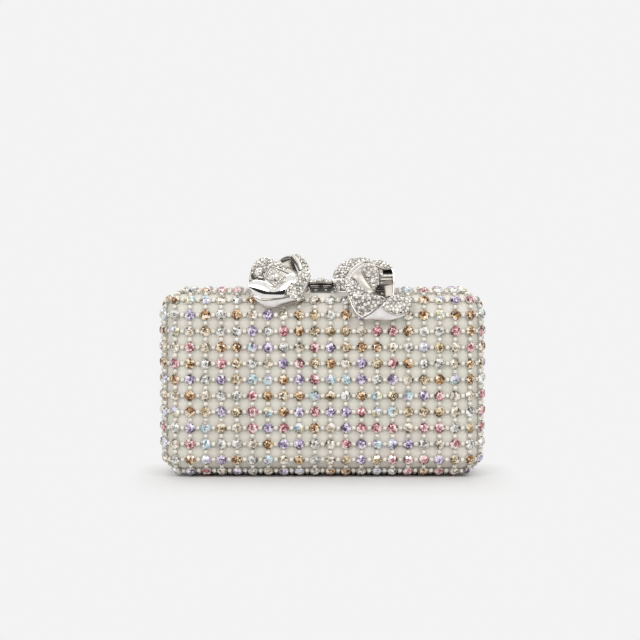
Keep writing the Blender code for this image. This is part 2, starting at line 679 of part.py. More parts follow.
def smooth_path(points, steps):
    """Even samples of a smooth curve through the points."""
    if len(points) == 2:
        return [points[0].lerp(points[1], step / steps) for step in range(steps + 1)]
    samples = []
    for step in range(steps + 1):
        place = step / steps * (len(points) - 1)
        index = min(int(place), len(points) - 2)
        part = place - index
        one, two = points[index], points[index + 1]
        before = points[index - 1] if index > 0 else one * 2 - two
        after = points[index + 2] if index + 2 < len(points) else two * 2 - one
        samples.append((one * 2 + (two - before) * part
                        + (before * 2 - one * 5 + two * 4 - after) * part ** 2
                        + (one * 3 - before - two * 3 + after) * part ** 3) / 2)
    return samples


def add_ribbon(bm, edges, thickness):
    """Adds a crowned metal ribbon between two edge curves."""
    first = smooth_path([Vector(point) for point in edges[0]], RIBBON_STEPS)
    second = smooth_path([Vector(point) for point in edges[1]], RIBBON_STEPS)
    middles = [(one + two) / 2 for one, two in zip(first, second)]
    rings = []
    previous = None
    for index, middle in enumerate(middles):
        along = middles[min(index + 1, RIBBON_STEPS)] - middles[max(index - 1, 0)]
        normal = along.cross(second[index] - first[index]).normalized()
        if previous is None and normal.y > 0:
            normal = -normal
        if previous is not None and normal.dot(previous) < 0:
            normal = -normal
        previous = normal
        half = normal * thickness / 2
        crown = normal * RIBBON_CROWN
        rings.append([first[index] + half, middle + half + crown, second[index] + half,
                      second[index] - half, middle - half + crown, first[index] - half])
    loft(bm, rings)


def make_bow_half(name, parent, way, ribbon_shares, root_shares):
    """One half of the bow: its ribbons, its root and its collar, joined into one casting."""
    inner = CLASP_AXIS.x + way * COLLAR_START
    outer = CLASP_AXIS.x + way * COLLAR_END
    span = (min(inner, outer), max(inner, outer))
    bm = bmesh.new()
    add_rod(bm, span, COLLAR_RADIUS, CLASP_AXIS, ROUND_SIDES)
    half = place_object(name, bm, parent, "rhodium", smooth=True)
    edges = []
    for across in span:
        edges.append([Vector((across, out * STONE_REACH, CLASP_AXIS.z + up * BOW_UP))
                      for up, out in root_shares])
    bm = bmesh.new()
    add_ribbon(bm, edges, ROOT_THICKNESS)
    combine(half, make_guide(name + "_root", bm, parent), "UNION")
    for label, pair in ribbon_shares.items():
        bm = bmesh.new()
        add_ribbon(bm, [[bow_point(*point) for point in edge] for edge in pair], RIBBON_THICKNESS)
        combine(half, make_guide(name + "_" + label, bm, parent), "UNION")
    bm = bmesh.new()
    bore = BOW_PIN_RADIUS + PIN_PLAY
    add_rod(bm, (span[0] - CUT_OVERRUN, span[1] + CUT_OVERRUN), bore, CLASP_AXIS, PIN_SIDES)
    combine(half, make_guide(name + "_bore", bm, parent), "DIFFERENCE")


def arc_point(across, radius, turn):
    """Point round the clasp's axis, turning from the front over the top."""
    return Vector((across, CLASP_AXIS.y - radius * math.cos(turn), CLASP_AXIS.z + radius * math.sin(turn)))


def make_knot(parent):
    """Pave knot and shoulders that bridge the barrel between the two collars."""
    inner = BARREL_RADIUS + SEAT_GAP
    turns = [math.pi / 2 + KNOT_ARC * (step / KNOT_STEPS - 0.5) for step in range(KNOT_STEPS + 1)]
    rings = []
    for place_share, radius_share in KNOT_SHARES:
        across = CLASP_AXIS.x + place_share * BARREL_HALF
        radius = SHOULDER_RADIUS + radius_share * (KNOT_RADIUS - SHOULDER_RADIUS)
        outer = [arc_point(across, radius, turn) for turn in turns]
        rings.append(outer + [arc_point(across, inner, turn) for turn in turns[::-1]])
    bm = bmesh.new()
    loft(bm, rings)
    place_object("bow_knot", bm, parent, "rhodium", smooth=True)


def make_hooks(parent):
    """Two hooks behind the collars that reach under the keeper."""
    start = COLLAR_RADIUS + SEAT_GAP
    end = start + HOOK_REACH
    top = -HOOK_NOSE_RISE
    low = top - HOOK_THICKNESS
    outline = ((start, low), (end, low), (end, 0), (end - HOOK_NOSE, 0), (end - HOOK_NOSE, top), (start, top))
    outline = [(CLASP_AXIS.y + y, CLASP_AXIS.z + z) for y, z in outline]
    middle = (COLLAR_START + COLLAR_END) / 2
    for label, way in SIDES:
        centre = CLASP_AXIS.x + way * middle
        bm = bmesh.new()
        extrude_outline(bm, outline, centre - HOOK_WIDTH / 2, centre + HOOK_WIDTH / 2, "X")
        place_object("bow_hook_" + label, bm, parent, "rhodium")


def make_bow(parent):
    """The rocking bow with its pin, knot and hooks."""
    make_bow_half("bow_left_half", parent, -1, LEFT_RIBBON_SHARES, LEFT_ROOT_SHARES)
    make_bow_half("bow_right_half", parent, 1, RIGHT_RIBBON_SHARES, RIGHT_ROOT_SHARES)
    make_knot(parent)
    make_hooks(parent)
    bm = bmesh.new()
    add_rod(bm, (CLASP_AXIS.x - COLLAR_END, CLASP_AXIS.x + COLLAR_END), BOW_PIN_RADIUS, CLASP_AXIS, PIN_SIDES)
    place_object("bow_pin", bm, parent, "steel", smooth=True)


def make_half(prefix, parent, side):
    """Cover, shell, lining, rail and crystals of one half."""
    cover = make_skin(prefix + "_cover", parent, side, (0, COVER_THICKNESS), "satin")
    set_crystals(prefix, cover, parent, side)
    make_skin(prefix + "_shell", parent, side, (SHELL_OFFSET, SHELL_OFFSET + SHELL_THICKNESS), "board")
    make_skin(prefix + "_lining", parent, side, (LINING_OFFSET, INNER_OFFSET), "lining")
    make_rail(prefix + "_frame", parent, side)


def centre_on_box(root):
    """Moves the whole bag so that its box is centred on the origin."""
    bpy.context.view_layer.update()
    graph = bpy.context.evaluated_depsgraph_get()
    lows = [math.inf, math.inf]
    highs = [-math.inf, -math.inf]
    for item in bpy.data.objects:
        if item.type != "MESH" or item.hide_render:
            continue
        solid = item.evaluated_get(graph)
        for vertex in solid.data.vertices:
            place = solid.matrix_world @ vertex.co
            for index in range(2):
                lows[index] = min(lows[index], place[index])
                highs[index] = max(highs[index], place[index])
    root.location.x = -(lows[0] + highs[0]) / 2
    root.location.y = -(lows[1] + highs[1]) / 2


def main():
    """Builds the whole bag."""
    clear_scene()
    root = make_empty("bag", Vector((0, 0, 0)))
    front = make_empty("shell_hinge", HINGE_AXIS, root)
    bow = make_empty("clasp_tilt", CLASP_AXIS, front)
    make_half("rear", root, REAR)
    make_half("front", front, FRONT)
    make_pocket(root)
    make_hinges(front, root)
    make_clasp_seat(front)
    make_keeper(root)
    make_bow(bow)
    centre_on_box(root)


main()
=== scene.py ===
"""Crystal-covered box clutch with a silver bow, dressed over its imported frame."""

import math
import random

import bmesh
import bpy
import numpy as np
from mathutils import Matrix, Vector, kdtree, noise


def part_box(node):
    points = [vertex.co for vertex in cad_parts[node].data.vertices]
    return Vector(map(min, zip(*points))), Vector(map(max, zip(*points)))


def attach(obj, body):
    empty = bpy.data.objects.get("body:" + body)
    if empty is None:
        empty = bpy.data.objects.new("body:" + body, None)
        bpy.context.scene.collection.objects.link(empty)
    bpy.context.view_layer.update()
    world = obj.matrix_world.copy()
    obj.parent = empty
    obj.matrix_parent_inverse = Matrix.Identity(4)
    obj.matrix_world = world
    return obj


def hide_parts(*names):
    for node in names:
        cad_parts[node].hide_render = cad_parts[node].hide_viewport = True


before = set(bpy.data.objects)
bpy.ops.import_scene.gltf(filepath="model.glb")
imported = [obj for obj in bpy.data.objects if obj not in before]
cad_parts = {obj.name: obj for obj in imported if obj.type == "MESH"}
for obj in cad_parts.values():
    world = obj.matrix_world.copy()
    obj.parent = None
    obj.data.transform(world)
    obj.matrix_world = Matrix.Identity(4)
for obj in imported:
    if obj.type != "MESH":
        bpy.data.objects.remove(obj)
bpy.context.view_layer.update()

MM = 0.001
QUARTER = math.pi / 2

# A direction is steep when its level part is shorter than this
STEEPEST = 0.3

# Layers of the case, each measured inwards from the satin's outside
EDGE_RADIUS = 12.6 * MM
SATIN_THICKNESS = 0.8 * MM
SHELL_OFFSET = 1.3 * MM
LINING_OFFSET = 2.9 * MM
INNER_OFFSET = 3.5 * MM

# Satin's slack, its slow waves, and how far and how wide stones and beads hold it down
SATIN_SLACK, SATIN_WAVE, SATIN_WAVES = 0.10, 0.10, 90.0
STONE_HOLD, STONE_HOLD_REACH = 0.22, 3.2 * MM
BEAD_HOLD, BEAD_HOLD_REACH = 0.08, 1.8 * MM

# Lining's sink, its waves as (height, waves in a metre), and its pleats towards the border
LINING_SINK = 0.22
LINING_WAVES = ((0.14, 45.0), (0.05, 190.0))
PLEAT_HEIGHT, PLEAT_FADE, PLEATS, PLEAT_WANDER, WANDER_WAVES = 0.10, 2.2, 900.0, 2.0, 60.0

# Frame rails along the parting line
RAIL_DEPTH = 1.7 * MM
RAIL_PROUD = 0.6 * MM
RAIL_LIP = 0.4 * MM
RAIL_GAP = 0.15 * MM
RAIL_ROUND_STEPS, RAIL_LIP_STEPS = 8, 4
RAIL_CELLS = (16, 12, 8)

# Net of crystals and seed beads
STONE_RADIUS = 2.75 * MM
STONE_PROUD = 3.1 * MM
COLUMN_PITCH = 8.50 * MM
ROW_PITCH = 8.81 * MM
NET_HEIGHT = 1.4 * MM
FIRST_ROW_RISE = 1.2 * MM
BASE_ROW_INSET = 1.02 * MM
STONE_SPACE = 1.1 * MM
PARTING_MARGIN = 1.45 * MM
CRYSTAL_RADIUS = STONE_RADIUS * 1.05
GIRDLE_HEIGHT = STONE_PROUD * 0.60
STONE_LEAN, CLAW_TURN = 0.03, 0.25
BEAD_HEIGHT = 1.3 * MM
BEAD_SIDES, THREAD_SIDES, THREAD_RADIUS = 8, 5, 0.16 * MM
BEAD_PROFILE = ((-0.92, 0.40), (-1.10, 0.74), (-0.74, 1.12), (0.0, 1.25), (0.74, 1.12), (1.10, 0.74),
                (0.92, 0.40))
BEAD_SIZES, BEAD_HUE, BEAD_SHADES = (0.94, 1.04), 0.02, (0.92, 1.06)
LONGEST_LINK = 11.5 * MM

# Places that follow from the frame
shell_low, shell_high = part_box("front_shell")
front_rail_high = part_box("front_frame")[1]
rear_rail_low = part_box("rear_frame")[0]
barrel_low, barrel_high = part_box("clasp_barrel")
keeper_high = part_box("catch_keeper")[1]
PARTING_Y = (front_rail_high.y + rear_rail_low.y) / 2
CASE_HALF = shell_high.x + SHELL_OFFSET
COVER_BOTTOM = shell_low.z - SHELL_OFFSET
COVER_TOP = shell_high.z + SHELL_OFFSET
HALF_DEPTH = PARTING_Y - shell_low.y + SHELL_OFFSET
FLAT_HALF = CASE_HALF - EDGE_RADIUS
FLAT_DEPTH = HALF_DEPTH - EDGE_RADIUS
FLAT_LOW = COVER_BOTTOM + EDGE_RADIUS
FLAT_HIGH = COVER_TOP - EDGE_RADIUS
NET_RADIUS = EDGE_RADIUS + NET_HEIGHT
RAIL_OUTER_EDGE = RAIL_GAP + RAIL_DEPTH
STONE_REACH = HALF_DEPTH + STONE_PROUD
BARREL_RADIUS = (barrel_high.z - barrel_low.z) / 2
BARREL_HALF = (barrel_high.x - barrel_low.x) / 2
CLASP_AXIS = Vector(((barrel_low.x + barrel_high.x) / 2, 0, (barrel_low.z + barrel_high.z) / 2))
FRONT, REAR = -1, 1

# Stones that the clasp leaves out
CLASP_BARE_SIDE = 1.6 * MM
CLASP_BARE_FRONT = 16.0 * MM
KEEPER_FOOT_END = keeper_high.x - CLASP_AXIS.x
KEEPER_BACK = keeper_high.y - PARTING_Y

# Cells of the fabric skins
ACROSS_CELLS, UP_CELLS, ARC_CELLS, BAND_CELLS = 84, 42, 8, 5

# Bow, drawn in shares of these sizes from the barrel's middle
BOW_ACROSS = 54.7 * MM
BOW_UP = 54.7 * MM
BOW_OUT = 20.0 * MM
BOW_CLEARANCE = 1.1 * MM
RIBBON_THICKNESS = 1.3 * MM
RIBBON_CROWN = 0.7 * MM
MIRROR_CROWN = 1.3 * MM
RIBBON_STEPS = 56
RIM_WIDTH = 0.3 * MM
ROOT_THICKNESS = 2.4 * MM
COLLAR_GAP = 0.3 * MM
COLLAR_LENGTH = 3.0 * MM
KNOT_RADIUS = 4.8 * MM
SHOULDER_RADIUS = 3.7 * MM
KNOT_ARC = math.radians(110.0)

# Colours, in linear light, and how dull a worn metal or the veil on a stone is
WHITE = (1.0, 1.0, 1.0)
DULL = 0.86
PEARL = (0.82, 0.775, 0.71)

# Kinds of crystal as (share of the stones, body colour, colour of the painted reflection in the bright
# facets)
CRYSTAL_KINDS = (
    (0.20, (0.34, 0.135, 0.022), (0.98, 0.73, 0.40)),
    (0.10, (0.48, 0.32, 0.150), (1.00, 0.88, 0.64)),
    (0.17, (0.58, 0.17, 0.200), (1.00, 0.76, 0.75)),
    (0.15, (0.33, 0.24, 0.430), (0.93, 0.85, 1.00)),
    (0.16, (0.58, 0.55, 0.490), (1.00, 1.00, 0.97)),
    (0.12, (0.62, 0.63, 0.600), (1.00, 1.00, 1.00)),
    (0.10, (0.66, 0.54, 0.390), (1.00, 0.95, 0.84)),
)
AURORA_KIND = 5
AURORA_TINTS = ((0.45, 0.80, 0.95), (0.95, 0.86, 0.42), (0.68, 0.60, 0.95))

# Painted reflection brightness that each kind of facet adds, and between which sides of a stone its aurora
# leaves a gap; the glint levels paint highlights towards white
FACET_LEVELS = {"eye": 0.04, "table": 0.02, "star": 0.14, "kite": 0.04, "girdle": -0.04}
MIDDLE_LEVEL, LEVEL_SWING, LEVEL_SCATTER, TABLE_STEP = 0.50, 0.24, 0.36, 0.16
AURORA_GAP = (-0.35, 0.75)
GLINT_LEVEL, GLINT_SPAN, GLINT = 0.85, 0.15, 0.5
DARKEST, DARK_RISE = 0.12, 1.5
AURORA_LEVEL, AURORA_RISE = 0.6, 0.4


class Shape:
    """Points and faces of one piece, gathered before its mesh is made."""

    def __init__(self):
        self.points, self.faces, self.tints, self.slots, self.smooth = [], [], [], [], []

    def add(self, points, faces, slot=0, smooth=True, tints=None, start=None):
        """Adds points and the faces between them, numbered from the new points unless start says so."""
        start = len(self.points) if start is None else start
        self.points += [tuple(point) for point in points]
        self.faces += [[start + corner for corner in face] for face in faces]
        self.tints += tints or [WHITE] * len(faces)
        self.slots += [slot] * len(faces)
        self.smooth += [smooth] * len(faces)

    def add_wall(self, one, other, smooth=True):
        """Adds the faces between two closed loops of points that are there."""
        pairs = list(zip(one, other))
        faces = [(near, next_near, next_far, far)
                 for (near, far), (next_near, next_far) in zip(pairs, pairs[1:] + pairs[:1])]
        self.add([], faces, smooth=smooth, start=0)

    def piece(self, name, body, *finishes, turn_out=True):
        """Makes the object, shifted from the parting plane into the row frame, and seats it on its body."""
        mesh = bpy.data.meshes.new(name)
        mesh.from_pydata([(x, y + PARTING_Y, z) for x, y, z in self.points], [], self.faces)
        mesh.polygons.foreach_set("use_smooth", self.smooth)
        mesh.polygons.foreach_set("material_index", self.slots)
        tint = mesh.color_attributes.new(name="tint", type="FLOAT_COLOR", domain="CORNER")
        corners = [(*colour, 1.0) for colour, face in zip(self.tints, self.faces) for _ in face]
        tint.data.foreach_set("color", np.array(corners, np.float32).ravel())
        if turn_out:
            turn_faces_out(mesh)
        mesh.update()
        for finish in finishes:
            mesh.materials.append(MATERIALS[finish])
        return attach(add_object(name, mesh), body)


def turn_faces_out(mesh):
    """Makes all faces of closed shapes look outwards."""
    bm = bmesh.new()
    bm.from_mesh(mesh)
    bmesh.ops.recalc_face_normals(bm, faces=bm.faces)
    bm.to_mesh(mesh)
    bm.free()


def add_object(name, data):
    """Puts an object with the data into the scene."""
    item = bpy.data.objects.new(name, data)
    bpy.context.scene.collection.objects.link(item)
    return item


def stamp(points, origin, first, second, third):
    """Moves a template's points into a frame of three directions at an origin."""
    return np.asarray(points) @ np.array([first, second, third]) + np.array(origin)


def axes_round(normal, turn=0.0):
    """Two directions square to a normal, turned round it from the level and the rising one."""
    level = Vector((0, 0, 1)).cross(normal)
    if level.length < STEEPEST:
        level = Vector((1, 0, 0)) - normal * normal.x
    level.normalize()
    first = level * math.cos(turn) + normal.cross(level) * math.sin(turn)
    return first, normal.cross(first)


def six_round(first, second):
    """Six directions spread evenly round, from the first towards the second."""
    return [first * math.cos(step * math.pi / 3) + second * math.sin(step * math.pi / 3) for step in range(6)]


def circle(radius, height, sides, shift=0.0):
    """Points of one level ring, begun at a shift given in steps."""
    turns = [(step + shift) / sides * math.tau for step in range(sides)]
    return [(radius * math.cos(turn), radius * math.sin(turn), height) for turn in turns]


def turned(profile, sides):
    """Rings of a profile of (place along X, radius), turned round the X axis."""
    return [(along, x, y) for place, radius in profile for x, y, along in circle(radius, place, sides)]


def ring_faces(rings, count, closed=False):
    """Quads between rings of the same number of points, numbered ring by ring."""
    faces = []
    for ring in range(rings if closed else rings - 1):
        here, ahead = ring * count, (ring + 1) % rings * count
        for index in range(count):
            after = (index + 1) % count
            faces.append((here + index, here + after, ahead + after, ahead + index))
    return faces


def grid_faces(across, up):
    """Quads of a grid of points, numbered row by row."""
    wide = across + 1
    return [(j * wide + i, j * wide + i + 1, (j + 1) * wide + i + 1, (j + 1) * wide + i)
            for j in range(up) for i in range(across)]


# Materials

def add_node(owner, kind, inputs, **settings):
    """Adds a shader node to a material or world, its inputs given as values or as outputs to link."""
    node = owner.node_tree.nodes.new("ShaderNode" + kind)
    for label, value in settings.items():
        setattr(node, label, value)
    for label, value in inputs.items():
        if isinstance(value, bpy.types.NodeSocket):
            owner.node_tree.links.new(value, node.inputs[label])
        else:
            node.inputs[label].default_value = value
    return node


def arithmetic(owner, operation, first, second=0.0, clamp=False):
    """Output of a Math node on two values."""
    node = add_node(owner, "Math", {0: first, 1: second}, operation=operation, use_clamp=clamp)
    return node.outputs[0]


def object_place(owner):
    """Place of a shaded point in its object."""
    return add_node(owner, "TexCoord", {}).outputs["Object"]


def new_material(name, **inputs):
    """A Principled material with uniform values set on the shader itself."""
    material = bpy.data.materials.new(name)
    material.use_nodes = True
    for label, value in inputs.items():
        shader_of(material).inputs[label.replace("_", " ")].default_value = value
    return material


def shader_of(material):
    """The material's Principled shader."""
    return material.node_tree.nodes["Principled BSDF"]


def feed(material, label, source):
    """Links an output to an input of the material's Principled shader."""
    material.node_tree.links.new(source, shader_of(material).inputs[label])


def show(material, shader):
    """Makes a node's shader the surface of the material."""
    surface = material.node_tree.nodes["Material Output"].inputs["Surface"]
    material.node_tree.links.new(shader.outputs[0], surface)


def noise_value(owner, scale, detail=3.0, stretch=(1, 1, 1)):
    """Noise over the piece's own place, with an optional stretch along its axes."""
    place = add_node(owner, "Mapping", {"Vector": object_place(owner), "Scale": stretch}).outputs["Vector"]
    return add_node(owner, "TexNoise", {"Vector": place, "Scale": scale, "Detail": detail}).outputs["Fac"]


def ramp(owner, value, low, high):
    """Colour between two ends, steered by a value."""
    node = add_node(owner, "ValToRGB", {"Fac": value})
    for end, position, colour in zip(node.color_ramp.elements, (0.3, 0.7), (low, high)):
        end.position = position
        end.color = (*colour, 1.0)
    return node.outputs["Color"]


def multiply(owner, first, second):
    """Product of two colours."""
    node = add_node(owner, "Mix", {"Factor": 1.0}, data_type="RGBA", blend_type="MULTIPLY")
    for label, value in (("A", first), ("B", second)):
        owner.node_tree.links.new(value, node.inputs[label])
    return node.outputs["Result"]


def bump(material, value, strength, distance):
    """Raises the surface by a value."""
    node = add_node(material, "Bump", {"Strength": strength, "Distance": distance, "Height": value})
    feed(material, "Normal", node.outputs["Normal"])


def weave_value(owner, threads):
    """Fine crossed threads, close together along the rise and across."""
    waves = [add_node(owner, "TexWave", {"Vector": object_place(owner), "Scale": threads, "Distortion": 0.6},
                      bands_direction=direction).outputs["Fac"] for direction in ("X", "Z")]
    return arithmetic(owner, "ADD", *waves)


def fabric_material(name, low, high, roughness, threads):
    """Woven satin with a soft sheen, slow changes of shade and a fine thread."""
    material = new_material(name, Roughness=roughness, Sheen_Weight=0.25, Sheen_Roughness=0.4)
    shade = ramp(material, noise_value(material, 60.0, 2.0), low, high)
    cast = ramp(material, noise_value(material, 38.0, 1.0), (0.965, 1.0, 0.965), (1.0, 0.97, 0.985))
    feed(material, "Base Color", multiply(material, shade, cast))
    bump(material, weave_value(material, threads), 0.25, 0.05 * MM)
    return material


def tinted_material(name, veil, scale, detail, **inputs):
    """Shows the tint that the script gave to each face, under a faint mottled veil."""
    material = new_material(name, **inputs)
    veil = ramp(material, noise_value(material, scale, detail), veil, WHITE)
    tint = add_node(material, "Attribute", {}, attribute_name="tint").outputs["Color"]
    feed(material, "Base Color", multiply(material, tint, veil))
    return material


def crystal_material(name):
    """Foil-backed cut crystal: each facet has its own tint, with painted reflections and painted glints,
    under a clear, sharp coat.
    """
    return tinted_material(name, (DULL, DULL, DULL), 900.0, 1.0, Metallic=0.15, Roughness=0.10,
                           Coat_Weight=0.8, Coat_Roughness=0.03)


def metal_material(name, colour, roughness, wear=0.06, scratch=0.15):
    """Plated metal with faint handling marks and fine scratches."""
    material = new_material(name, Metallic=1.0)
    dull = tuple(part * DULL for part in colour)
    feed(material, "Base Color", ramp(material, noise_value(material, 220.0), dull, colour))
    marks = add_node(material, "MapRange", {"Value": noise_value(material, 500.0, 4.0, (1, 1, 6)),
                                            "To Min": roughness, "To Max": roughness + wear})
    feed(material, "Roughness", marks.outputs["Result"])
    bump(material, noise_value(material, 1800.0, 2.0, (1, 1, 8)), scratch, 0.01 * MM)
    return material


def board_material():
    """Grey-brown pressed board of the shell, seen only past the lining's edge."""
    material = new_material("shell_board", Roughness=0.85)
    shade = ramp(material, noise_value(material, 900.0, 5.0), (0.16, 0.13, 0.11), (0.30, 0.26, 0.22))
    feed(material, "Base Color", shade)
    bump(material, noise_value(material, 2500.0, 4.0), 0.5, 0.05 * MM)
    return material


MATERIALS = {
    "satin": fabric_material("ivory_satin", (0.65, 0.618, 0.555), (0.73, 0.697, 0.628), 0.42, 900.0),
    "lining": fabric_material("lining_satin", (0.60, 0.555, 0.485), (0.64, 0.595, 0.525), 0.38, 700.0),
    "pocket": fabric_material("pocket_satin", (0.63, 0.585, 0.51), (0.67, 0.625, 0.55), 0.36, 700.0),
    "crystal": crystal_material("cut_crystal"),
    "clear": crystal_material("clear_crystal"),
    "pearl": tinted_material("pearl_bead", (0.88, 0.90, 0.86), 1400.0, 2.0, Roughness=0.34, Coat_Weight=0.3,
                             Coat_Roughness=0.14, Specular_IOR_Level=0.5),
    "cup": metal_material("cup_silver", (0.84, 0.82, 0.78), 0.30),
    "nickel": metal_material("polished_nickel", (0.66, 0.64, 0.61), 0.16),
    "rhodium": metal_material("bright_rhodium", (0.95, 0.93, 0.90), 0.07, 0.02, 0.012),
    # Pave floor metal: darker as painted shade, for pave floors, the inner fold, the loop foot and the knot's
    # saddle
    "pave_floor": metal_material("pave_floor", (0.43, 0.40, 0.355), 0.30),
    "rim": metal_material("brushed_rhodium", (0.58, 0.55, 0.50), 0.30),
    # Shaded rhodium: darker as painted shade, for the bow's lower rim, loop back and dark lines
    "shaded_rhodium": metal_material("shaded_rhodium", (0.34, 0.31, 0.27), 0.10),
    # Dark chrome: the barrel's own dark plating, and on the bow painted shadow in its dark gaps, lens and
    # lines
    "dark_chrome": metal_material("dark_chrome", (0.11, 0.105, 0.10), 0.08, 0.04, 0.04),
    "collar": metal_material("collar_silver", (0.94, 0.915, 0.90), 0.34),
    "setting": metal_material("setting_silver", (0.70, 0.67, 0.62), 0.22),
    "steel": metal_material("pin_steel", (0.52, 0.52, 0.53), 0.28),
    "thread": fabric_material("net_thread", (0.72, 0.69, 0.63), (0.84, 0.81, 0.74), 0.5, 3000.0),
    "stitch": fabric_material("stitch_thread", (0.50, 0.46, 0.40), (0.60, 0.56, 0.50), 0.5, 3000.0),
    "board": board_material(),
}


# Fabric skins and rails

def outline(radius, arc_cells, across_cells, up_cells):
    """Points round the case at one radius from its straight edges, each with its outward direction."""
    corners = [Vector((across, 0, height)) for across, height in (
        (FLAT_HALF, FLAT_HIGH), (-FLAT_HALF, FLAT_HIGH), (-FLAT_HALF, FLAT_LOW), (FLAT_HALF, FLAT_LOW))]
    points = []
    for quarter, corner in enumerate(corners):
        for step in range(arc_cells + 1):
            turn = (quarter + step / arc_cells) * QUARTER
            ahead = Vector((math.cos(turn), 0, math.sin(turn)))
            points.append((corner + ahead * radius, ahead))
        turn = (quarter + 1) * QUARTER
        ahead = Vector((round(math.cos(turn)), 0, round(math.sin(turn))))
        start, end = corner + ahead * radius, corners[(quarter + 1) % 4] + ahead * radius
        cells = up_cells if quarter % 2 else across_cells
        points += [(start.lerp(end, step / cells), ahead) for step in range(1, cells)]
    return points


def flat_border():
    """Grid point under each point of the first ring round the flat face."""
    wide = ACROSS_CELLS + 1
    top = UP_CELLS * wide
    border = []
    for corner, stride, cells in ((top + ACROSS_CELLS, -1, ACROSS_CELLS), (top, -wide, UP_CELLS),
                                  (0, 1, ACROSS_CELLS), (ACROSS_CELLS, wide, UP_CELLS)):
        border += [corner] * (ARC_CELLS + 1) + [corner + stride * step for step in range(1, cells)]
    return border


def skin_surface(offset):
    """One surface of the front half: points, outward directions, faces and the count of the last ring."""
    radius = EDGE_RADIUS - offset
    points = [Vector((FLAT_HALF * (2 * i / ACROSS_CELLS - 1), -(FLAT_DEPTH + radius),
                      FLAT_LOW + (FLAT_HIGH - FLAT_LOW) * j / UP_CELLS))
              for j in range(UP_CELLS + 1) for i in range(ACROSS_CELLS + 1)]
    normals = [Vector((0, -1, 0))] * len(points)
    faces = grid_faces(ACROSS_CELLS, UP_CELLS)
    first = len(points)
    turns = [step / ARC_CELLS * QUARTER for step in range(1, ARC_CELLS + 1)]
    rings = [(radius * math.sin(turn), FLAT_DEPTH + radius * math.cos(turn), turn) for turn in turns]
    rings += [(radius, FLAT_DEPTH + (RAIL_OUTER_EDGE - FLAT_DEPTH) * step / BAND_CELLS, QUARTER)
              for step in range(1, BAND_CELLS + 1)]
    for reach, depth, turn in rings:
        for point, ahead in outline(reach, ARC_CELLS, ACROSS_CELLS, UP_CELLS):
            points.append(point + Vector((0, -depth, 0)))
            normals.append(ahead * math.sin(turn) + Vector((0, -math.cos(turn), 0)))
    border = flat_border()
    count = len(border)
    for index in range(count):
        after = (index + 1) % count
        corners = [border[index], border[after], first + after, first + index]
        faces.append(corners if border[index] != border[after] else [corners[0]] + corners[2:])
    faces += [[first + corner for corner in face] for face in ring_faces(len(rings), count)]
    return points, normals, faces, count


def make_skin(name, side, offsets, lift, finish, body, outer_shows):
    """A closed thin skin of one half: its shown surface is lifted by a function of place."""
    shape = Shape()
    rims = []
    for offset, shown in zip(offsets, (outer_shows, not outer_shows)):
        points, normals, faces, count = skin_surface(offset)
        if shown:
            points = [point + normal * lift(point) for point, normal in zip(points, normals)]
        shape.add([(point.x, -side * point.y, point.z) for point in points], faces)
        rims.append(range(len(shape.points) - count, len(shape.points)))
    shape.add_wall(*rims)
    return shape.piece(name, body, finish)


def satin_lift(side, stones, links):
    """How the satin rises between the stones and is held down under them, asked in the front half's place."""
    trees = []
    for places in ([stone["foot"] for stone in stones.values()], [place["point"] for place in links]):
        tree = kdtree.KDTree(len(places))
        for index, point in enumerate(places):
            tree.insert((point.x, -side * point.y, point.z), index)
        tree.balance()
        trees.append(tree)

    def lift(point):
        to_stone, to_bead = [tree.find(point)[2] for tree in trees]
        held = (STONE_HOLD * math.exp(-(to_stone / STONE_HOLD_REACH) ** 2)
                + BEAD_HOLD * math.exp(-(to_bead / BEAD_HOLD_REACH) ** 2))
        return (SATIN_SLACK + SATIN_WAVE * noise.noise(point * SATIN_WAVES) - held) * MM

    return lift


def lining_lift(point):
    """Slight waves of the lining, drawn into fine pleats towards its border."""
    border = max(abs(point.x) - FLAT_HALF, FLAT_LOW - point.z, point.z - FLAT_HIGH) / EDGE_RADIUS
    drawn = PLEAT_HEIGHT * math.exp(-max(-border, 0) * PLEAT_FADE)
    along = point.x if abs(point.x) < FLAT_HALF else point.z
    pleat = drawn * math.sin(along * PLEATS + PLEAT_WANDER * noise.noise(point * WANDER_WAVES))
    slow, fast = [height * noise.noise(point * waves) for height, waves in LINING_WAVES]
    return -(LINING_SINK + slow + fast + pleat) * MM


def make_rail(name, side, body):
    """Rounded metal rail round the mouth of one half."""
    outer = EDGE_RADIUS + RAIL_PROUD
    inner = EDGE_RADIUS - INNER_OFFSET - RAIL_LIP
    half = RAIL_DEPTH / 2
    middle = RAIL_GAP + half
    section = []
    for step in range(RAIL_ROUND_STEPS + 1):
        turn = math.pi * (step / RAIL_ROUND_STEPS - 0.5)
        section.append((outer - half + half * math.cos(turn), middle + half * math.sin(turn)))
    for step in range(RAIL_LIP_STEPS + 1):
        turn = math.pi * (0.5 + step / RAIL_LIP_STEPS)
        section.append((inner + half / 2 + half / 2 * math.cos(turn), middle + half * math.sin(turn)))
    points = [(point.x, side * depth, point.z)
              for radius, depth in section for point, _ in outline(radius, *RAIL_CELLS)]
    shape = Shape()
    shape.add(points, ring_faces(len(section), len(points) // len(section), closed=True))
    return shape.piece(name, body, "nickel")


# Net of stones

def net_rows():
    """Rows of the net as (number, height on the flat, up or down, turn over the edge, run past it)."""
    quarter = NET_RADIUS * QUARTER
    first = FLAT_HIGH + FIRST_ROW_RISE
    count_up = int((quarter + FLAT_DEPTH - FIRST_ROW_RISE) / ROW_PITCH)
    count_down = int((first - FLAT_LOW + quarter + FLAT_DEPTH) / ROW_PITCH)
    rows = []
    for number in range(-count_up, count_down + 1):
        height = first - number * ROW_PITCH
        beyond = max(height - FLAT_HIGH, FLAT_LOW - height, 0)
        way = 1 if height > (FLAT_HIGH + FLAT_LOW) / 2 else -1
        on_flat = min(max(height, FLAT_LOW), FLAT_HIGH)
        rows.append((number, on_flat, way, min(beyond, quarter) / NET_RADIUS, max(beyond - quarter, 0)))
    return sorted(rows, key=lambda row: row[4])


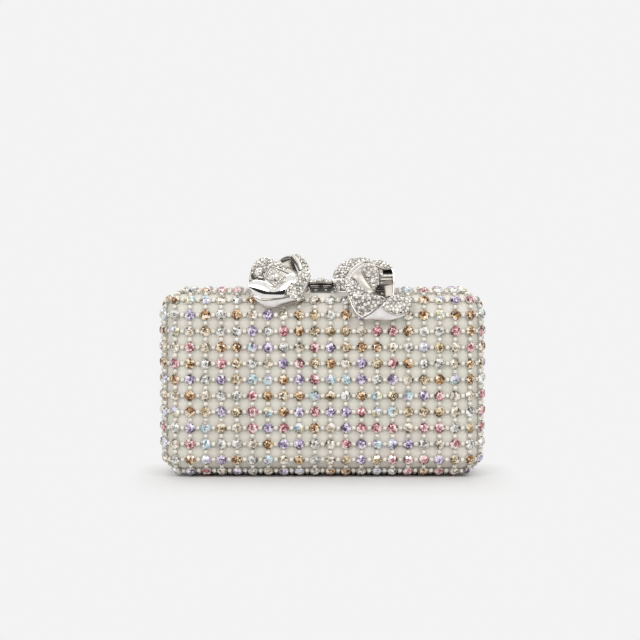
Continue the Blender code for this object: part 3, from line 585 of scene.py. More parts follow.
def net_place(row, distance):
    """Core point and outward direction of one stone on the right half of the front."""
    _, height, way, turn, past = row
    across = min(distance, FLAT_HALF)
    beyond = distance - across
    if past > 0:
        roll = min(beyond / NET_RADIUS, QUARTER)
        return Vector((across, -FLAT_DEPTH + past, height)), Vector((math.sin(roll), 0, way * math.cos(roll)))
    ring = NET_RADIUS * math.cos(turn)
    yaw = min(beyond / ring, QUARTER)
    run = max(beyond - ring * QUARTER, 0)
    normal = Vector((math.cos(turn) * math.sin(yaw), -math.cos(turn) * math.cos(yaw), way * math.sin(turn)))
    return Vector((across, -FLAT_DEPTH + run, height)), normal


def net_stones(side):
    """Stones of one half by row and column, each with its core, foot and outward direction."""
    rows = net_rows()
    reach = FLAT_HALF + NET_RADIUS * QUARTER + FLAT_DEPTH
    base_number = min(row[0] for row in rows if row[2] < 0 < row[4])
    base_row = (base_number, FLAT_LOW, -1, QUARTER, BASE_ROW_INSET)
    columns = range(int(reach / COLUMN_PITCH + 0.5))
    room = 2 * STONE_RADIUS + STONE_SPACE
    kept = []
    stones = {}
    for row, column in [(row, column) for row in [base_row] + rows for column in columns]:
        distance = (column + 0.5) * COLUMN_PITCH
        on_base = row[2] < 0 < row[4] and distance <= FLAT_HALF
        if row is base_row and distance > FLAT_HALF or row is not base_row and on_base:
            continue
        core, normal = net_place(row, distance)
        point = core + normal * NET_RADIUS
        if -point.y < STONE_RADIUS + PARTING_MARGIN or any((point - other).length <= room for other in kept):
            continue
        kept.append(point)
        for mirror, number in ((1, column), (-1, -1 - column)):
            outward = Vector((mirror * normal.x, -side * normal.y, normal.z))
            middle = Vector((mirror * core.x, -side * core.y, core.z))
            foot = middle + outward * EDGE_RADIUS
            if not under_clasp(foot, side):
                stones[(row[0], number)] = {"core": middle, "foot": foot, "normal": outward}
    return stones


def under_clasp(foot, side):
    """Whether the bracket, the keeper or the bow's roots take this stone's place."""
    if foot.z < FLAT_HIGH or abs(foot.x - CLASP_AXIS.x) > KEEPER_FOOT_END + CLASP_BARE_SIDE:
        return False
    return abs(foot.y) < (CLASP_BARE_FRONT if side == FRONT else KEEPER_BACK + STONE_RADIUS)


def net_links(stones):
    """Bead places between neighbouring stones, each with its direction along the thread."""
    links = []
    for (row, column), stone in stones.items():
        for key in ((row, column + 1), (row + 1, column)):
            other = stones.get(key)
            if other is None or (other["foot"] - stone["foot"]).length > LONGEST_LINK:
                continue
            normal = (stone["normal"] + other["normal"]).normalized()
            point = (stone["core"] + other["core"]) / 2 + normal * (EDGE_RADIUS + BEAD_HEIGHT)
            links.append({"point": point, "along": (other["foot"] - stone["foot"]).normalized(),
                          "normal": normal, "ends": (stone, other)})
    return links


def crystal_template():
    """Brilliant cut of radius 1 and height 0..1 from girdle to table, with each facet's kind and angle."""
    points = [(0, 0, 0.80)]
    for radius, height, shift in ((0.26, 0.90, 0.5), (0.54, 1.0, 0.0), (0.79, 0.60, 0.5), (1.0, 0.0, 0.0),
                                  (1.0, 0.0, 0.5)):
        points += circle(radius, height, 8, shift)
    eye, inner, top, mid, low, between = 0, 1, 9, 17, 25, 33
    faces = []
    for index in range(8):
        after = (index + 1) % 8
        before = (index - 1) % 8
        faces += [("eye", index + 1, (eye, inner + index, inner + after)),
                  ("table", index + 0.5, (inner + index, top + index, top + after)),
                  ("table", index, (top + index, inner + index, inner + before)),
                  ("star", index + 0.5, (top + index, mid + index, top + after)),
                  ("kite", index, (top + index, mid + before, low + index, mid + index)),
                  ("girdle", index + 0.25, (mid + index, low + index, between + index)),
                  ("girdle", index + 0.75, (mid + index, between + index, low + after))]
    return np.array(points), faces


def facet_tones(rng, faces, kind):
    """Tints of one stone's facets: its body colour with strong dark and bright sectors of painted reflection.
    """
    _, body, flash = CRYSTAL_KINDS[kind]
    lean, patch = rng.uniform(0, math.tau), rng.uniform(0, math.tau)
    patch_tint, second_tint = rng.choice(AURORA_TINTS), rng.choice(AURORA_TINTS)
    tones = []
    for name, place, _ in faces:
        turn = place * math.pi / 4
        level = MIDDLE_LEVEL + FACET_LEVELS[name] + LEVEL_SWING * math.cos(turn - lean)
        level += rng.gauss(0, LEVEL_SCATTER)
        if name in ("eye", "table"):
            level += TABLE_STEP if int(place * 2) % 2 else -TABLE_STEP
        level = min(max(level, 0.0), 1.0)
        colour = tone(body, flash, level)
        side = math.cos(turn - patch)
        if kind == AURORA_KIND and not AURORA_GAP[0] < side < AURORA_GAP[1]:
            tint = patch_tint if side < 0 else second_tint
            glow = AURORA_LEVEL + AURORA_RISE * level
            colour = [0.5 * part + 0.5 * bright * glow for part, bright in zip(colour, tint)]
        tones.append(tuple(colour))
    return tones


def tone(body, flash, level):
    """Colour of a facet at a painted reflection brightness from 0, dark, to 1, a flash, the brightest with a
    painted glint towards white.
    """
    if level < 0.5:
        return [part * (DARKEST + DARK_RISE * level) for part in body]
    glint = GLINT * max(level - GLINT_LEVEL, 0) / GLINT_SPAN
    colour = [part + (bright - part) * (level - 0.5) * 2 for part, bright in zip(body, flash)]
    return [part + (1 - part) * glint for part in colour]


def cup_template():
    """Metal cup under a stone, open above, as rings of a turned profile, with four claws."""
    sides = 12
    profile = ((0.62, 0.0), (0.82, 0.10), (0.97, 0.35), (1.05, 0.54), (1.06, 0.60), (1.02, 0.62))
    points = [point for radius, height in profile for point in circle(radius, height, sides)]
    faces = ring_faces(len(profile), sides)
    faces.append(tuple(range(sides))[::-1])
    for claw in range(4):
        across, up = math.cos((claw + 0.5) * QUARTER), math.sin((claw + 0.5) * QUARTER)
        start = len(points)
        for radius, height, width in ((1.02, 0.50, 0.11), (1.04, 0.68, 0.10), (0.93, 0.78, 0.06)):
            points += [(radius * across - side * width * up, radius * up + side * width * across, height)
                       for side in (-1, 1)]
        points.append((0.90 * across, 0.90 * up, 0.64))
        faces += [[start + corner for corner in face] for face in (
            (0, 1, 3, 2), (2, 3, 5, 4), (0, 2, 6), (2, 4, 6), (1, 6, 3), (3, 6, 5), (4, 5, 6))]
    return np.array(points), faces


def make_stones(prefix, body, stones, seed):
    """Cut crystals and their metal cups on one half."""
    rng = random.Random(seed)
    weights = [kind[0] for kind in CRYSTAL_KINDS]
    crystal_points, crystal_faces = crystal_template()
    cup_points, cup_faces = cup_template()
    crystals = Shape()
    cups = Shape()
    for stone in stones.values():
        kind = rng.choices(range(len(CRYSTAL_KINDS)), weights)[0]
        lean = Vector([rng.gauss(0, STONE_LEAN) for _ in range(3)])
        normal = (stone["normal"] + lean).normalized()
        first, second = axes_round(normal, rng.uniform(0, math.tau))
        placed = stamp(crystal_points, stone["foot"] + normal * GIRDLE_HEIGHT, first * CRYSTAL_RADIUS,
                       second * CRYSTAL_RADIUS, normal * (STONE_PROUD - GIRDLE_HEIGHT))
        crystals.add(placed, [face[2] for face in crystal_faces], smooth=False,
                     tints=facet_tones(rng, crystal_faces, kind))
        first, second = axes_round(normal, rng.uniform(-CLAW_TURN, CLAW_TURN))
        placed = stamp(cup_points, stone["foot"], first * STONE_RADIUS, second * STONE_RADIUS,
                       normal * STONE_PROUD)
        cups.add(placed, cup_faces)
    shown = crystals.piece(prefix + "_crystals", body, "crystal", turn_out=False)
    held = cups.piece(prefix + "_crystal_cups", body, "cup", turn_out=False)
    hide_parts(prefix + "_base_crystals")


def thread_points(path):
    """Rings of a thin thread along a path of points, each with its outward direction."""
    rings = []
    for index, (point, normal) in enumerate(path):
        along = path[min(index + 1, len(path) - 1)][0] - path[max(index - 1, 0)][0]
        level = along.cross(normal).normalized()
        rise = level.cross(along).normalized()
        rings += [point + (level * x + rise * y) * THREAD_RADIUS for x, y, _ in circle(1, 0, THREAD_SIDES)]
    return rings


def make_beads(prefix, body, links, seed):
    """Ivory seed beads between the stones, on the thread that ties the net together."""
    rng = random.Random(seed)
    bead_points = np.array(turned(BEAD_PROFILE, BEAD_SIDES)) * MM
    bead_faces = ring_faces(len(BEAD_PROFILE), BEAD_SIDES, closed=True)
    beads = Shape()
    thread = Shape()
    for place in links:
        across = place["along"].cross(place["normal"]).normalized()
        rise = across.cross(place["along"])
        size = rng.uniform(*BEAD_SIZES)
        placed = stamp(bead_points, place["point"], place["along"] * size, across * size, rise * size)
        hue = rng.uniform(-BEAD_HUE, BEAD_HUE)
        shade = rng.uniform(*BEAD_SHADES)
        tint = (PEARL[0] * shade * (1 + hue), PEARL[1] * shade, PEARL[2] * shade * (1 - 2 * hue))
        beads.add(placed, bead_faces, tints=[tint] * len(bead_faces))
        path = [(end["foot"] + end["normal"] * BEAD_HEIGHT, end["normal"]) for end in place["ends"]]
        path.insert(1, (place["point"], place["normal"]))
        thread.add(thread_points(path), ring_faces(len(path), THREAD_SIDES))
    shown = beads.piece(prefix + "_seed_beads", body, "pearl")
    held = thread.piece(prefix + "_net_thread", body, "thread")


def dress_half(prefix, body, side, seed):
    """Satin, stones, beads, rail and lining of one half."""
    stones = net_stones(side)
    links = net_links(stones)
    satin = make_skin(prefix + "_satin", side, (0, SATIN_THICKNESS), satin_lift(side, stones, links), "satin",
                      body, True)
    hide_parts(prefix + "_cover")
    lining = make_skin(prefix + "_lining_satin", side, (LINING_OFFSET, INNER_OFFSET), lining_lift, "lining",
                       body, False)
    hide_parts(prefix + "_lining")
    rail = make_rail(prefix + "_rail", side, body)
    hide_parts(prefix + "_frame")
    make_stones(prefix, body, stones, seed)
    make_beads(prefix, body, links, seed + 1)


# Bow

# Ribbons by name, each as its two edges through points across, up and out, in thousandths of the bow
LEFT_RIBBONS = {
    "outer_loop": (((-710, 60, -320), (-705, 130, -360), (-680, 212, -440), (-630, 278, -560),
         (-555, 298, -660), (-470, 268, -720)),
        ((-570, 65, -80), (-555, 110, -100), (-540, 150, -140), (-520, 185, -220), (-495, 210, -320),
         (-450, 220, -460))),
    "light_band": (((-540, 285, -620), (-450, 255, -660), (-360, 215, -660), (-280, 170, -580),
         (-220, 125, -460)),
        ((-515, 220, -340), (-440, 195, -360), (-365, 165, -380), (-300, 130, -360), (-250, 90, -300))),
    "inner_fold": (((-440, 250, -880), (-395, 285, -950), (-340, 310, -1000), (-290, 310, -1000)),
        ((-390, 200, -600), (-330, 180, -600), (-270, 145, -580), (-210, 110, -560))),
    "mirror_sweep": (((-727, 35, -80), (-665, 77, -10), (-575, 72, 40), (-475, 30, 80), (-390, 80, 30),
         (-315, 140, -80), (-265, 148, -200)),
        ((-714, 10, 0), (-660, -60, 70), (-570, -98, 140), (-470, -98, 170), (-390, -93, 160),
         (-325, -65, 100), (-230, 40, -30))),
    "sweep_line": (((-660, -78, 100), (-580, -104, 180), (-450, -96, 210), (-340, -82, 180)),
        ((-650, -92, 100), (-580, -118, 180), (-450, -110, 210), (-330, -92, 180))),
    "diamond": (((-555, 105, 180), (-465, 220, 80)),
        ((-455, 15, 280), (-340, 122, 180))),
    "descending_band": (((-305, 308, -900), (-255, 250, -800), (-215, 170, -540), (-265, 105, -160),
         (-320, 15, 180), (-337, -85, 260)),
        ((-240, 326, -1000), (-166, 272, -950), (-117, 167, -780), (-135, 70, -360), (-170, -30, 0),
         (-210, -120, 180))),
    "band_border": (((-132, 114, -500), (-177, 8, -80), (-224, -110, 220)),
        ((-104, 125, -660), (-147, 5, -180), (-194, -120, 160))),
    "underside": (((-670, -70, 60), (-580, -90, 130), (-450, -95, 170), (-330, -80, 140),
         (-240, -75, 80)),
        ((-620, -125, 20), (-560, -165, 50), (-470, -175, 70), (-370, -145, 60), (-230, -105, 30))),
    "lower_rim": (((-590, -155, 40), (-490, -175, 80), (-390, -150, 80), (-280, -115, 40),
         (-160, -80, -40)),
        ((-570, -175, 40), (-480, -195, 80), (-380, -175, 80), (-270, -145, 40), (-160, -115, -40))),
    "fold_lens": (((-405, 272, -860), (-367, 296, -920), (-325, 306, -970), (-298, 291, -980)),
        ((-390, 262, -820), (-357, 276, -860), (-320, 278, -900), (-287, 260, -920))),
    "fold_line": (((-312, 306, -840), (-277, 265, -740), (-245, 218, -620), (-220, 168, -440)),
        ((-296, 312, -840), (-261, 271, -740), (-230, 224, -620), (-206, 173, -440))),
    "fold_border": (((-294, 313, -850), (-258, 272, -750), (-226, 226, -630), (-204, 175, -450)),
        ((-268, 322, -870), (-228, 282, -810), (-196, 230, -710), (-180, 172, -530))),
    "loop_shadow": (((-690, 138, -280), (-645, 111, -200), (-600, 98, -120), (-556, 96, -40)),
        ((-698, 122, -260), (-660, 86, -160), (-610, 70, -90), (-562, 72, -20))),
}
RIGHT_RIBBONS = {
    "arch": (((118, 82, -700), (148, 168, -840), (213, 232, -940), (305, 274, -980), (415, 286, -920),
         (510, 254, -800)),
        ((255, 100, -400), (300, 170, -500), (355, 220, -560), (410, 252, -600), (460, 252, -600),
         (510, 230, -580))),
    "arch_border": (((240, 95, -360), (298, 170, -460), (365, 228, -520), (435, 272, -560),
         (490, 275, -580)),
        ((256, 90, -330), (312, 160, -430), (376, 216, -490), (443, 258, -530), (490, 260, -550))),
    "strip_border": (((268, 85, -300), (324, 150, -400), (388, 204, -460), (450, 244, -500),
         (495, 244, -500)),
        ((284, 80, -270), (338, 140, -370), (400, 192, -430), (460, 228, -470), (500, 226, -470))),
    "smooth_strip": (((300, 105, -260), (345, 85, -120), (390, 30, 20), (430, -25, 120), (460, -55, 140)),
        ((390, 175, -300), (415, 120, -220), (450, 60, -100), (495, 0, 40), (530, -40, 80))),
    "inner_curl": (((420, 220, -460), (408, 172, -380), (430, 110, -280), (470, 45, -140), (508, 2, 0)),
        ((520, 235, -520), (563, 185, -440), (576, 130, -340), (570, 70, -200), (546, 8, 0))),
    "outer_loop": (((510, 258, -800), (590, 263, -780), (665, 244, -720), (716, 201, -660)),
        ((510, 230, -560), (555, 215, -520), (610, 192, -520), (675, 182, -560))),
    "loop_back": (((585, 125, -760), (588, 20, -750)),
        ((730, 125, -800), (730, 20, -790))),
    "descending_band": (((145, 80, -620), (225, 35, -260), (270, -45, 80), (300, -140, 160),
         (340, -220, 200), (410, -285, 200)),
        ((320, 90, -280), (395, 20, 20), (470, -35, 180), (545, -65, 240), (605, -80, 240),
         (650, -108, 200))),
    "band_border": (((135, 80, -580), (220, 25, -200), (263, -55, 110), (293, -150, 190),
         (333, -230, 230), (400, -293, 210)),
        ((170, 70, -480), (246, 5, -100), (284, -75, 160), (316, -165, 230), (358, -235, 260),
         (425, -283, 250))),
    "band_line": (((405, -284, 240), (470, -246, 280), (555, -182, 300), (645, -104, 240)),
        ((415, -296, 230), (480, -257, 270), (565, -192, 290), (652, -116, 230))),
    "lower_ribbon": (((400, -280, 220), (480, -235, 250), (560, -180, 270), (640, -115, 200)),
        ((440, -300, 120), (570, -303, 120), (710, -303, 130), (840, -260, 100))),
    "leaf_tail": (((590, -165, 200), (645, -115, 160), (710, -78, 100), (780, -68, 20),
         (845, -88, -20), (890, -135, -40)),
        ((600, -175, 240), (655, -225, 320), (725, -255, 340), (795, -250, 280), (855, -220, 140),
         (900, -160, 20))),
    "loop_rim": (((696, 222, -700), (726, 180, -660), (738, 110, -620), (736, 20, -500),
         (723, -80, -340)),
        ((686, 214, -660), (713, 174, -620), (725, 110, -580), (723, 20, -460), (710, -80, -300))),
    "loop_inside": (((615, 186, -710), (615, 134, -700)),
        ((720, 188, -750), (726, 134, -740))),
    "rib_upper": (((595, 128, -600), (728, 130, -680)),
        ((595, 102, -580), (728, 104, -660))),
    "rib_middle": (((595, 94, -600), (728, 96, -680)),
        ((595, 68, -580), (728, 70, -660))),
    "rib_lower": (((595, 60, -600), (728, 62, -680)),
        ((595, 34, -580), (728, 36, -660))),
    "loop_gap": (((544, 28, -520), (554, -38, -400)),
        ((632, 30, -560), (637, -36, -440))),
    "loop_foot": (((636, 17, -440), (643, -90, -300)),
        ((722, 20, -480), (710, -90, -340))),
    "knob_side": (((576, 240, -660), (576, 180, -620), (578, 115, -580)),
        ((623, 230, -700), (621, 180, -660), (619, 124, -620))),
}

# Root of each half through points up, in shares of BOW_UP, and out, in shares of STONE_REACH
LEFT_ROOT = ((0.0, 0.0), (0.10, -0.24), (0.16, -0.60))
RIGHT_ROOT = ((0.0, 0.0), (0.07, -0.28), (0.08, -0.64))


def by_name(groups):
    """Turns a table of value to names into one of name to value."""
    return {name: value for value, names in groups.items() for name in names}


# Metals of the bow, and the finish of each ribbon that isn't bright rhodium; the pave floor metal, the shaded
# rhodium and the dark chrome ribbons are darker as painted shade
BOW_METALS = ("rhodium", "pave_floor", "rim", "collar", "shaded_rhodium", "dark_chrome")
PAVE_FLOOR, RIM, COLLAR = 1, 2, 3
RIBBON_FINISHES = by_name({
    # Painted shade: the inner fold and the loop foot are in the darker pave floor metal
    "pave_floor": ("inner_fold", "loop_foot"),
    "rim": ("fold_border", "smooth_strip", "arch_border", "strip_border", "band_border", "rib_upper",
            "rib_middle", "rib_lower"),
    "collar": ("underside", "lower_ribbon"),
    # Painted shade: a dark backing behind the right loop, a dark rim under the left lobe and dark lines along
    # edges
    "shaded_rhodium": ("lower_rim", "loop_back", "sweep_line", "band_line"),
    # Painted shadow: dark sheets where the loops' insides, gaps and folds are in shade
    "dark_chrome": ("loop_shadow", "fold_lens", "fold_line", "loop_inside", "loop_gap"),
})

# Crowns that aren't the full one: hollow where negative
RIBBON_CROWNS = by_name({
    -0.5 * MM: ("inner_fold",),
    -0.2 * MM: ("fold_lens",),
    -0.1 * MM: ("loop_inside", "loop_gap"),
    0.1 * MM: ("arch_border", "strip_border", "sweep_line", "band_line", "fold_line", "loop_shadow",
               "diamond"),
    0.2 * MM: ("loop_back", "loop_rim"),
    0.3 * MM: ("band_border", "fold_border", "lower_rim", "smooth_strip"),
    0.4 * MM: ("loop_foot", "rib_upper", "rib_middle", "rib_lower", "lower_ribbon"),
    0.5 * MM: ("underside",),
    1.05 * MM: ("mirror_sweep",),
})

# Part of each pave ribbon that is set with stones, as shares of its length; a plate has them round its border
WHOLE = (0.0, 1.0)
LEFT_PAVE = {"outer_loop": WHOLE, "light_band": (0.0, 0.55), "diamond": None, "descending_band": WHOLE}
RIGHT_PAVE = {"arch": WHOLE, "descending_band": WHOLE, "inner_curl": WHOLE, "outer_loop": WHOLE,
              "knob_side": WHOLE, "leaf_tail": (0.04, 0.94)}

# Small stones of the pave, and the height in the left outer loop below which they are darkened as painted
# shade
PAVE_DEPTH = 0.35 * MM
PAVE_RADIUS = 1.0 * MM
SMALL_PAVE_RADIUS = 0.72 * MM
PAVE_PITCH = 1.98 * MM
SHADED_LOOP_UP = 0.20

# How pave rows are packed: shares of the pitch or of a stone's radius, and turns that make them uneven
PAVE_ROW_SHARE, PAVE_FIT, PAVE_SLACK, PAVE_SHIFT, PAVE_CLOSENESS = 0.9, 0.15, 0.45, 0.25, 0.92
ROW_TURN, COLUMN_TURN, ACROSS_TURN, SIZE_TURN = 2.4, 4.1, 1.7, 3.1
ALONG_JITTER, ACROSS_JITTER, SIZE_JITTER = 0.14, 0.10, 0.05
FILL_STEP, FILL_CELL, FILL_MARGIN = 0.5 * MM, 0.4 * MM, 0.9

# Casts of the painted reflections in colourless stones: plain, brown in the dark facets as (part, part added
# by light), and darkened as painted shade
CLEAR_CAST = (1.0, 0.96, 0.89)
BROWN_CAST = ((1.0, 0.0), (0.86, 0.12), (0.72, 0.22))
SHADE_CAST = (0.80, 0.77, 0.73)

# Large stones as (ribbon, across, up, radius)
LEFT_LARGE_STONES = (("diamond", -0.455, 0.115, 2.4 * MM), ("outer_loop", -0.614, 0.16, 2.5 * MM))
RIGHT_LARGE_STONES = (("inner_curl", 0.48, 0.135, 1.9 * MM), ("inner_curl", 0.52, 0.075, 1.9 * MM))

# Points across a ribbon's face, turns of its round edges, and which faces of a ring are pave floor and back
FACE_STEPS, FLOOR_STEPS = 12, 6
WIDEST_RIM, RIM_FOOT = 0.3, 1.02
EDGE_TURNS = [math.radians(turn) for turn in (60, 90, 120)]
FLOOR_FACES, BACK_FACES = range(2, 10), range(16, 28)
THIN_END, EDGE_BULGE = 0.12, 0.5

# Lathe work: sides, the collar's bore as a share of the barrel, and the barrel's wall
COLLAR_SIDES, BARREL_SIDES = 40, 48
COLLAR_BORE, BARREL_WALL = 0.4, 0.7 * MM


def stone_envelope(height):
    """How far the front stones reach from the parting plane at one height, with clearance."""
    radius = EDGE_RADIUS + STONE_PROUD + BOW_CLEARANCE + RIBBON_THICKNESS / 2
    above = max(height - FLAT_HIGH, 0)
    return FLAT_DEPTH + math.sqrt(max(radius ** 2 - above ** 2, 0))


def bow_point(across, up, out):
    """Place of a bow point given as shares, kept clear of the front stones."""
    height = CLASP_AXIS.z + up * BOW_UP
    reach = max(STONE_REACH + out * BOW_OUT, 0)
    if height < COVER_TOP + STONE_PROUD + BOW_CLEARANCE:
        reach = max(reach, stone_envelope(height))
    return Vector((CLASP_AXIS.x + across * BOW_ACROSS, -reach, height))


def smooth_path(points):
    """Even samples of a smooth curve through the points."""
    if len(points) == 2:
        return [points[0].lerp(points[1], step / RIBBON_STEPS) for step in range(RIBBON_STEPS + 1)]
    samples = []
    for step in range(RIBBON_STEPS + 1):
        place = step / RIBBON_STEPS * (len(points) - 1)
        index = min(int(place), len(points) - 2)
        part = place - index
        one, two = points[index], points[index + 1]
        before = points[index - 1] if index > 0 else one * 2 - two
        after = points[index + 2] if index + 2 < len(points) else two * 2 - one
        samples.append((one * 2 + (two - before) * part
                        + (before * 2 - one * 5 + two * 4 - after) * part ** 2
                        + (one * 3 - before - two * 3 + after) * part ** 3) / 2)
    return samples


class Ribbon:
    """One metal ribbon between two edge curves."""

    def __init__(self, first_edge, second_edge, thickness, crown=RIBBON_CROWN):
        self.first, self.second = smooth_path(first_edge), smooth_path(second_edge)
        self.thickness, self.crown = thickness, crown
        middles = [(one + two) / 2 for one, two in zip(self.first, self.second)]
        self.length = sum((two - one).length for one, two in zip(middles, middles[1:]))
        self.normals = []
        previous = Vector((0, -1, 0))
        for index in range(RIBBON_STEPS + 1):
            along = middles[min(index + 1, RIBBON_STEPS)] - middles[max(index - 1, 0)]
            normal = along.cross(self.second[index] - self.first[index]).normalized()
            previous = -normal if normal.dot(previous) < 0 else normal
            self.normals.append(previous)

    def width(self, step):
        """Width of the ribbon at one step."""
        return (self.second[step] - self.first[step]).length

    def lift(self, share, step, pave):
        """Height of the face above the middle plane at a share of the width."""
        height = self.crown * 4 * share * (1 - share)
        if pave and min(share, 1 - share) * self.width(step) > RIM_WIDTH:
            height -= PAVE_DEPTH
        return height

    def face_point(self, place, share, pave):
        """Point and normal on the face, at shares along and across."""
        step = min(max(place, 0), 1) * RIBBON_STEPS
        index = min(int(step), RIBBON_STEPS - 1)
        one, two, normal = [edge[index].lerp(edge[index + 1], step - index)
                            for edge in (self.first, self.second, self.normals)]
        normal.normalize()
        height = self.thickness / 2 + self.lift(share, index, pave)
        slope = 4 * self.crown * (1 - 2 * share) / max((two - one).length, MM)
        leaning = normal - (two - one).normalized() * slope
        return one.lerp(two, share) + normal * height, leaning.normalized()

    def nearest(self, across, up):
        """Shares along and across of the face point seen nearest to a place given as shares."""
        target = bow_point(across, up, 0)

        def gap(place):
            point, _ = self.face_point(*place, True)
            return math.hypot(point.x - target.x, point.z - target.z)

        return min(((along / RIBBON_STEPS, side / FACE_STEPS) for along in range(RIBBON_STEPS + 1)
                    for side in range(1, FACE_STEPS)), key=gap)

    def across_shares(self, step, pave):
        """Shares across the width at which the face is sampled."""
        if not pave:
            return [index / FACE_STEPS for index in range(FACE_STEPS + 1)]
        rim = min(RIM_WIDTH / max(self.width(step), MM), WIDEST_RIM)
        foot = rim * RIM_FOOT
        floor = [foot + (1 - 2 * foot) * index / FLOOR_STEPS for index in range(FLOOR_STEPS + 1)]
        return [0, rim / 2, rim, *floor, 1 - rim, 1 - rim / 2, 1]

    def section(self, step, pave):
        """Closed section of the ribbon at one step, with round edges and thin ends."""
        near_end = min(step, RIBBON_STEPS - step) / RIBBON_STEPS * self.length
        half = self.thickness / 2
        ease = min(near_end / half, 1)
        half *= math.sqrt(max(1 - (1 - ease) ** 2, THIN_END))
        one, two, normal = self.first[step], self.second[step], self.normals[step]
        outward = (one - two).normalized()
        shares = self.across_shares(step, pave)
        return ([one.lerp(two, share) + normal * (half + self.lift(share, step, pave)) for share in shares]
                + [two - outward * half * math.sin(turn) * EDGE_BULGE + normal * half * math.cos(turn)
                   for turn in EDGE_TURNS]
                + [one.lerp(two, share) + normal * (-half + self.lift(share, step, False))
                   for share in shares[::-1]]
                + [one + outward * half * math.sin(turn) * EDGE_BULGE + normal * half * math.cos(turn)
                   for turn in EDGE_TURNS[::-1]])

    def add_to(self, shape, pave, slot=0):
        """Adds the ribbon's closed body to a shape, with a floor between the rims of a pave face that is
        darker as painted shade.
        """
        rings = [self.section(step, pave) for step in range(RIBBON_STEPS + 1)]
        count = len(rings[0])
        last = RIBBON_STEPS * count
        faces = ring_faces(len(rings), count)
        faces += [tuple(range(count))[::-1], tuple(range(last, last + count))]
        first_face = len(shape.faces)
        shape.add([point for ring in rings for point in ring], faces, slot=slot)
        for index in range(last if pave else 0):
            if index % count not in BACK_FACES:
                shape.slots[first_face + index] = PAVE_FLOOR if index % count in FLOOR_FACES else RIM


def row_places(ribbon, start, end, length):
    """Staggered and slightly uneven rows of stones, each as shares along and across and a radius."""
    rows = max(int(length / (PAVE_PITCH * PAVE_ROW_SHARE)), 1)
    for row in range(rows):
        along = start + (row + 0.5) / rows * (end - start)
        wide = ribbon.width(int(along * RIBBON_STEPS))
        room = wide - 2 * RIM_WIDTH
        count = int(room / PAVE_PITCH + PAVE_FIT)
        shift = (PAVE_SHIFT if row % 2 else -PAVE_SHIFT) if room > (count + PAVE_SLACK) * PAVE_PITCH else 0
        count -= 1 if row % 2 and count > 1 and not shift else 0
        for column in range(count):
            turn = ROW_TURN * row + COLUMN_TURN * column
            nearby = min(max(along + ALONG_JITTER * PAVE_PITCH * math.sin(turn) / length, start), end)
            across = column + 0.5 - count / 2 + shift + ACROSS_JITTER * math.cos(ACROSS_TURN * turn)
            radius = PAVE_RADIUS * (1 + SIZE_JITTER * math.sin(SIZE_TURN * turn))
            yield nearby, 0.5 + across * PAVE_PITCH / wide, radius


def fill_places(ribbon, start, end, length):
    """Close grid of tries over the same part, first for full stones and then for small ones."""
    steps = int(length / FILL_STEP)
    for radius in (PAVE_RADIUS, SMALL_PAVE_RADIUS):
        for step in range(steps):
            along = start + (step + 0.5) / steps * (end - start)
            wide = ribbon.width(int(along * RIBBON_STEPS))
            margin = (RIM_WIDTH + radius * FILL_MARGIN) / wide
            cells = max(int((1 - 2 * margin) * wide / FILL_CELL), 0)
            for cell in range(cells + 1 if margin < 0.5 else 0):
                yield along, margin + (1 - 2 * margin) * cell / max(cells, 1), radius


def pave_places(ribbon, span, taken):
    """Places of small stones over part of a ribbon's face, each where no other stone is in the way."""
    part = (*span, ribbon.length * (span[1] - span[0]))
    places = []
    for along, share, radius in [*row_places(ribbon, *part), *fill_places(ribbon, *part)]:
        point, normal = ribbon.face_point(along, share, True)
        if all((point - other).length > reach + radius * PAVE_CLOSENESS for other, reach in taken):
            places.append((point, normal, radius))
            taken.append((point, radius))
    return places


def frame_places(ribbon):
    """Places of the small stones round the border of a square plate."""
    inset, radius, count = 0.11, 0.60 * MM, 5
    places = []
    for step in range(count):
        part = inset + (1 - 2 * inset) * step / count
        for place, share in ((part, inset), (1 - inset, part), (1 - part, 1 - inset), (inset, 1 - part)):
            places.append((*ribbon.face_point(place, share, True), radius))
    return places


def clear_tones(rng, faces):
    """Tints of a colourless stone: a painted reflection brightness of its own with some dark facets."""
    swing, scatter, darkest = 0.18, 0.20, 0.06
    lean = rng.uniform(0, math.tau)
    own = rng.choice((0.45, 0.7, 0.85, 0.95))
    levels = [own + swing * math.cos(place * math.pi / 4 - lean) + rng.gauss(0, scatter)
              for _, place, _ in faces]
    levels = [min(max(level, darkest), 1.0) for level in levels]
    return [tuple(level * part for part in CLEAR_CAST) for level in levels]


def large_tones(rng, faces):
    """Tints of a large colourless stone: painted reflections, bright facets beside brown ones, and a painted
    glint on the eye and star facets.
    """
    middle, swing, scatter, glint, darkest = 0.66, 0.22, 0.26, 0.10, 0.10
    lean = rng.uniform(0, math.tau)
    tones = []
    for name, place, _ in faces:
        level = middle + swing * math.cos(place * QUARTER - lean) + rng.gauss(0, scatter)
        level += glint if name in ("eye", "star") else 0.0
        level = min(max(level, darkest), 1.0)
        tones.append(tuple(level * (part + rise * level) for part, rise in BROWN_CAST))
    return tones


def shaded_tones(rng, faces):
    """Tints of a small stone low in the outer loop, darkened as painted shade."""
    return [tuple(part * shade for part, shade in zip(colour, SHADE_CAST))
            for colour in large_tones(rng, faces)]


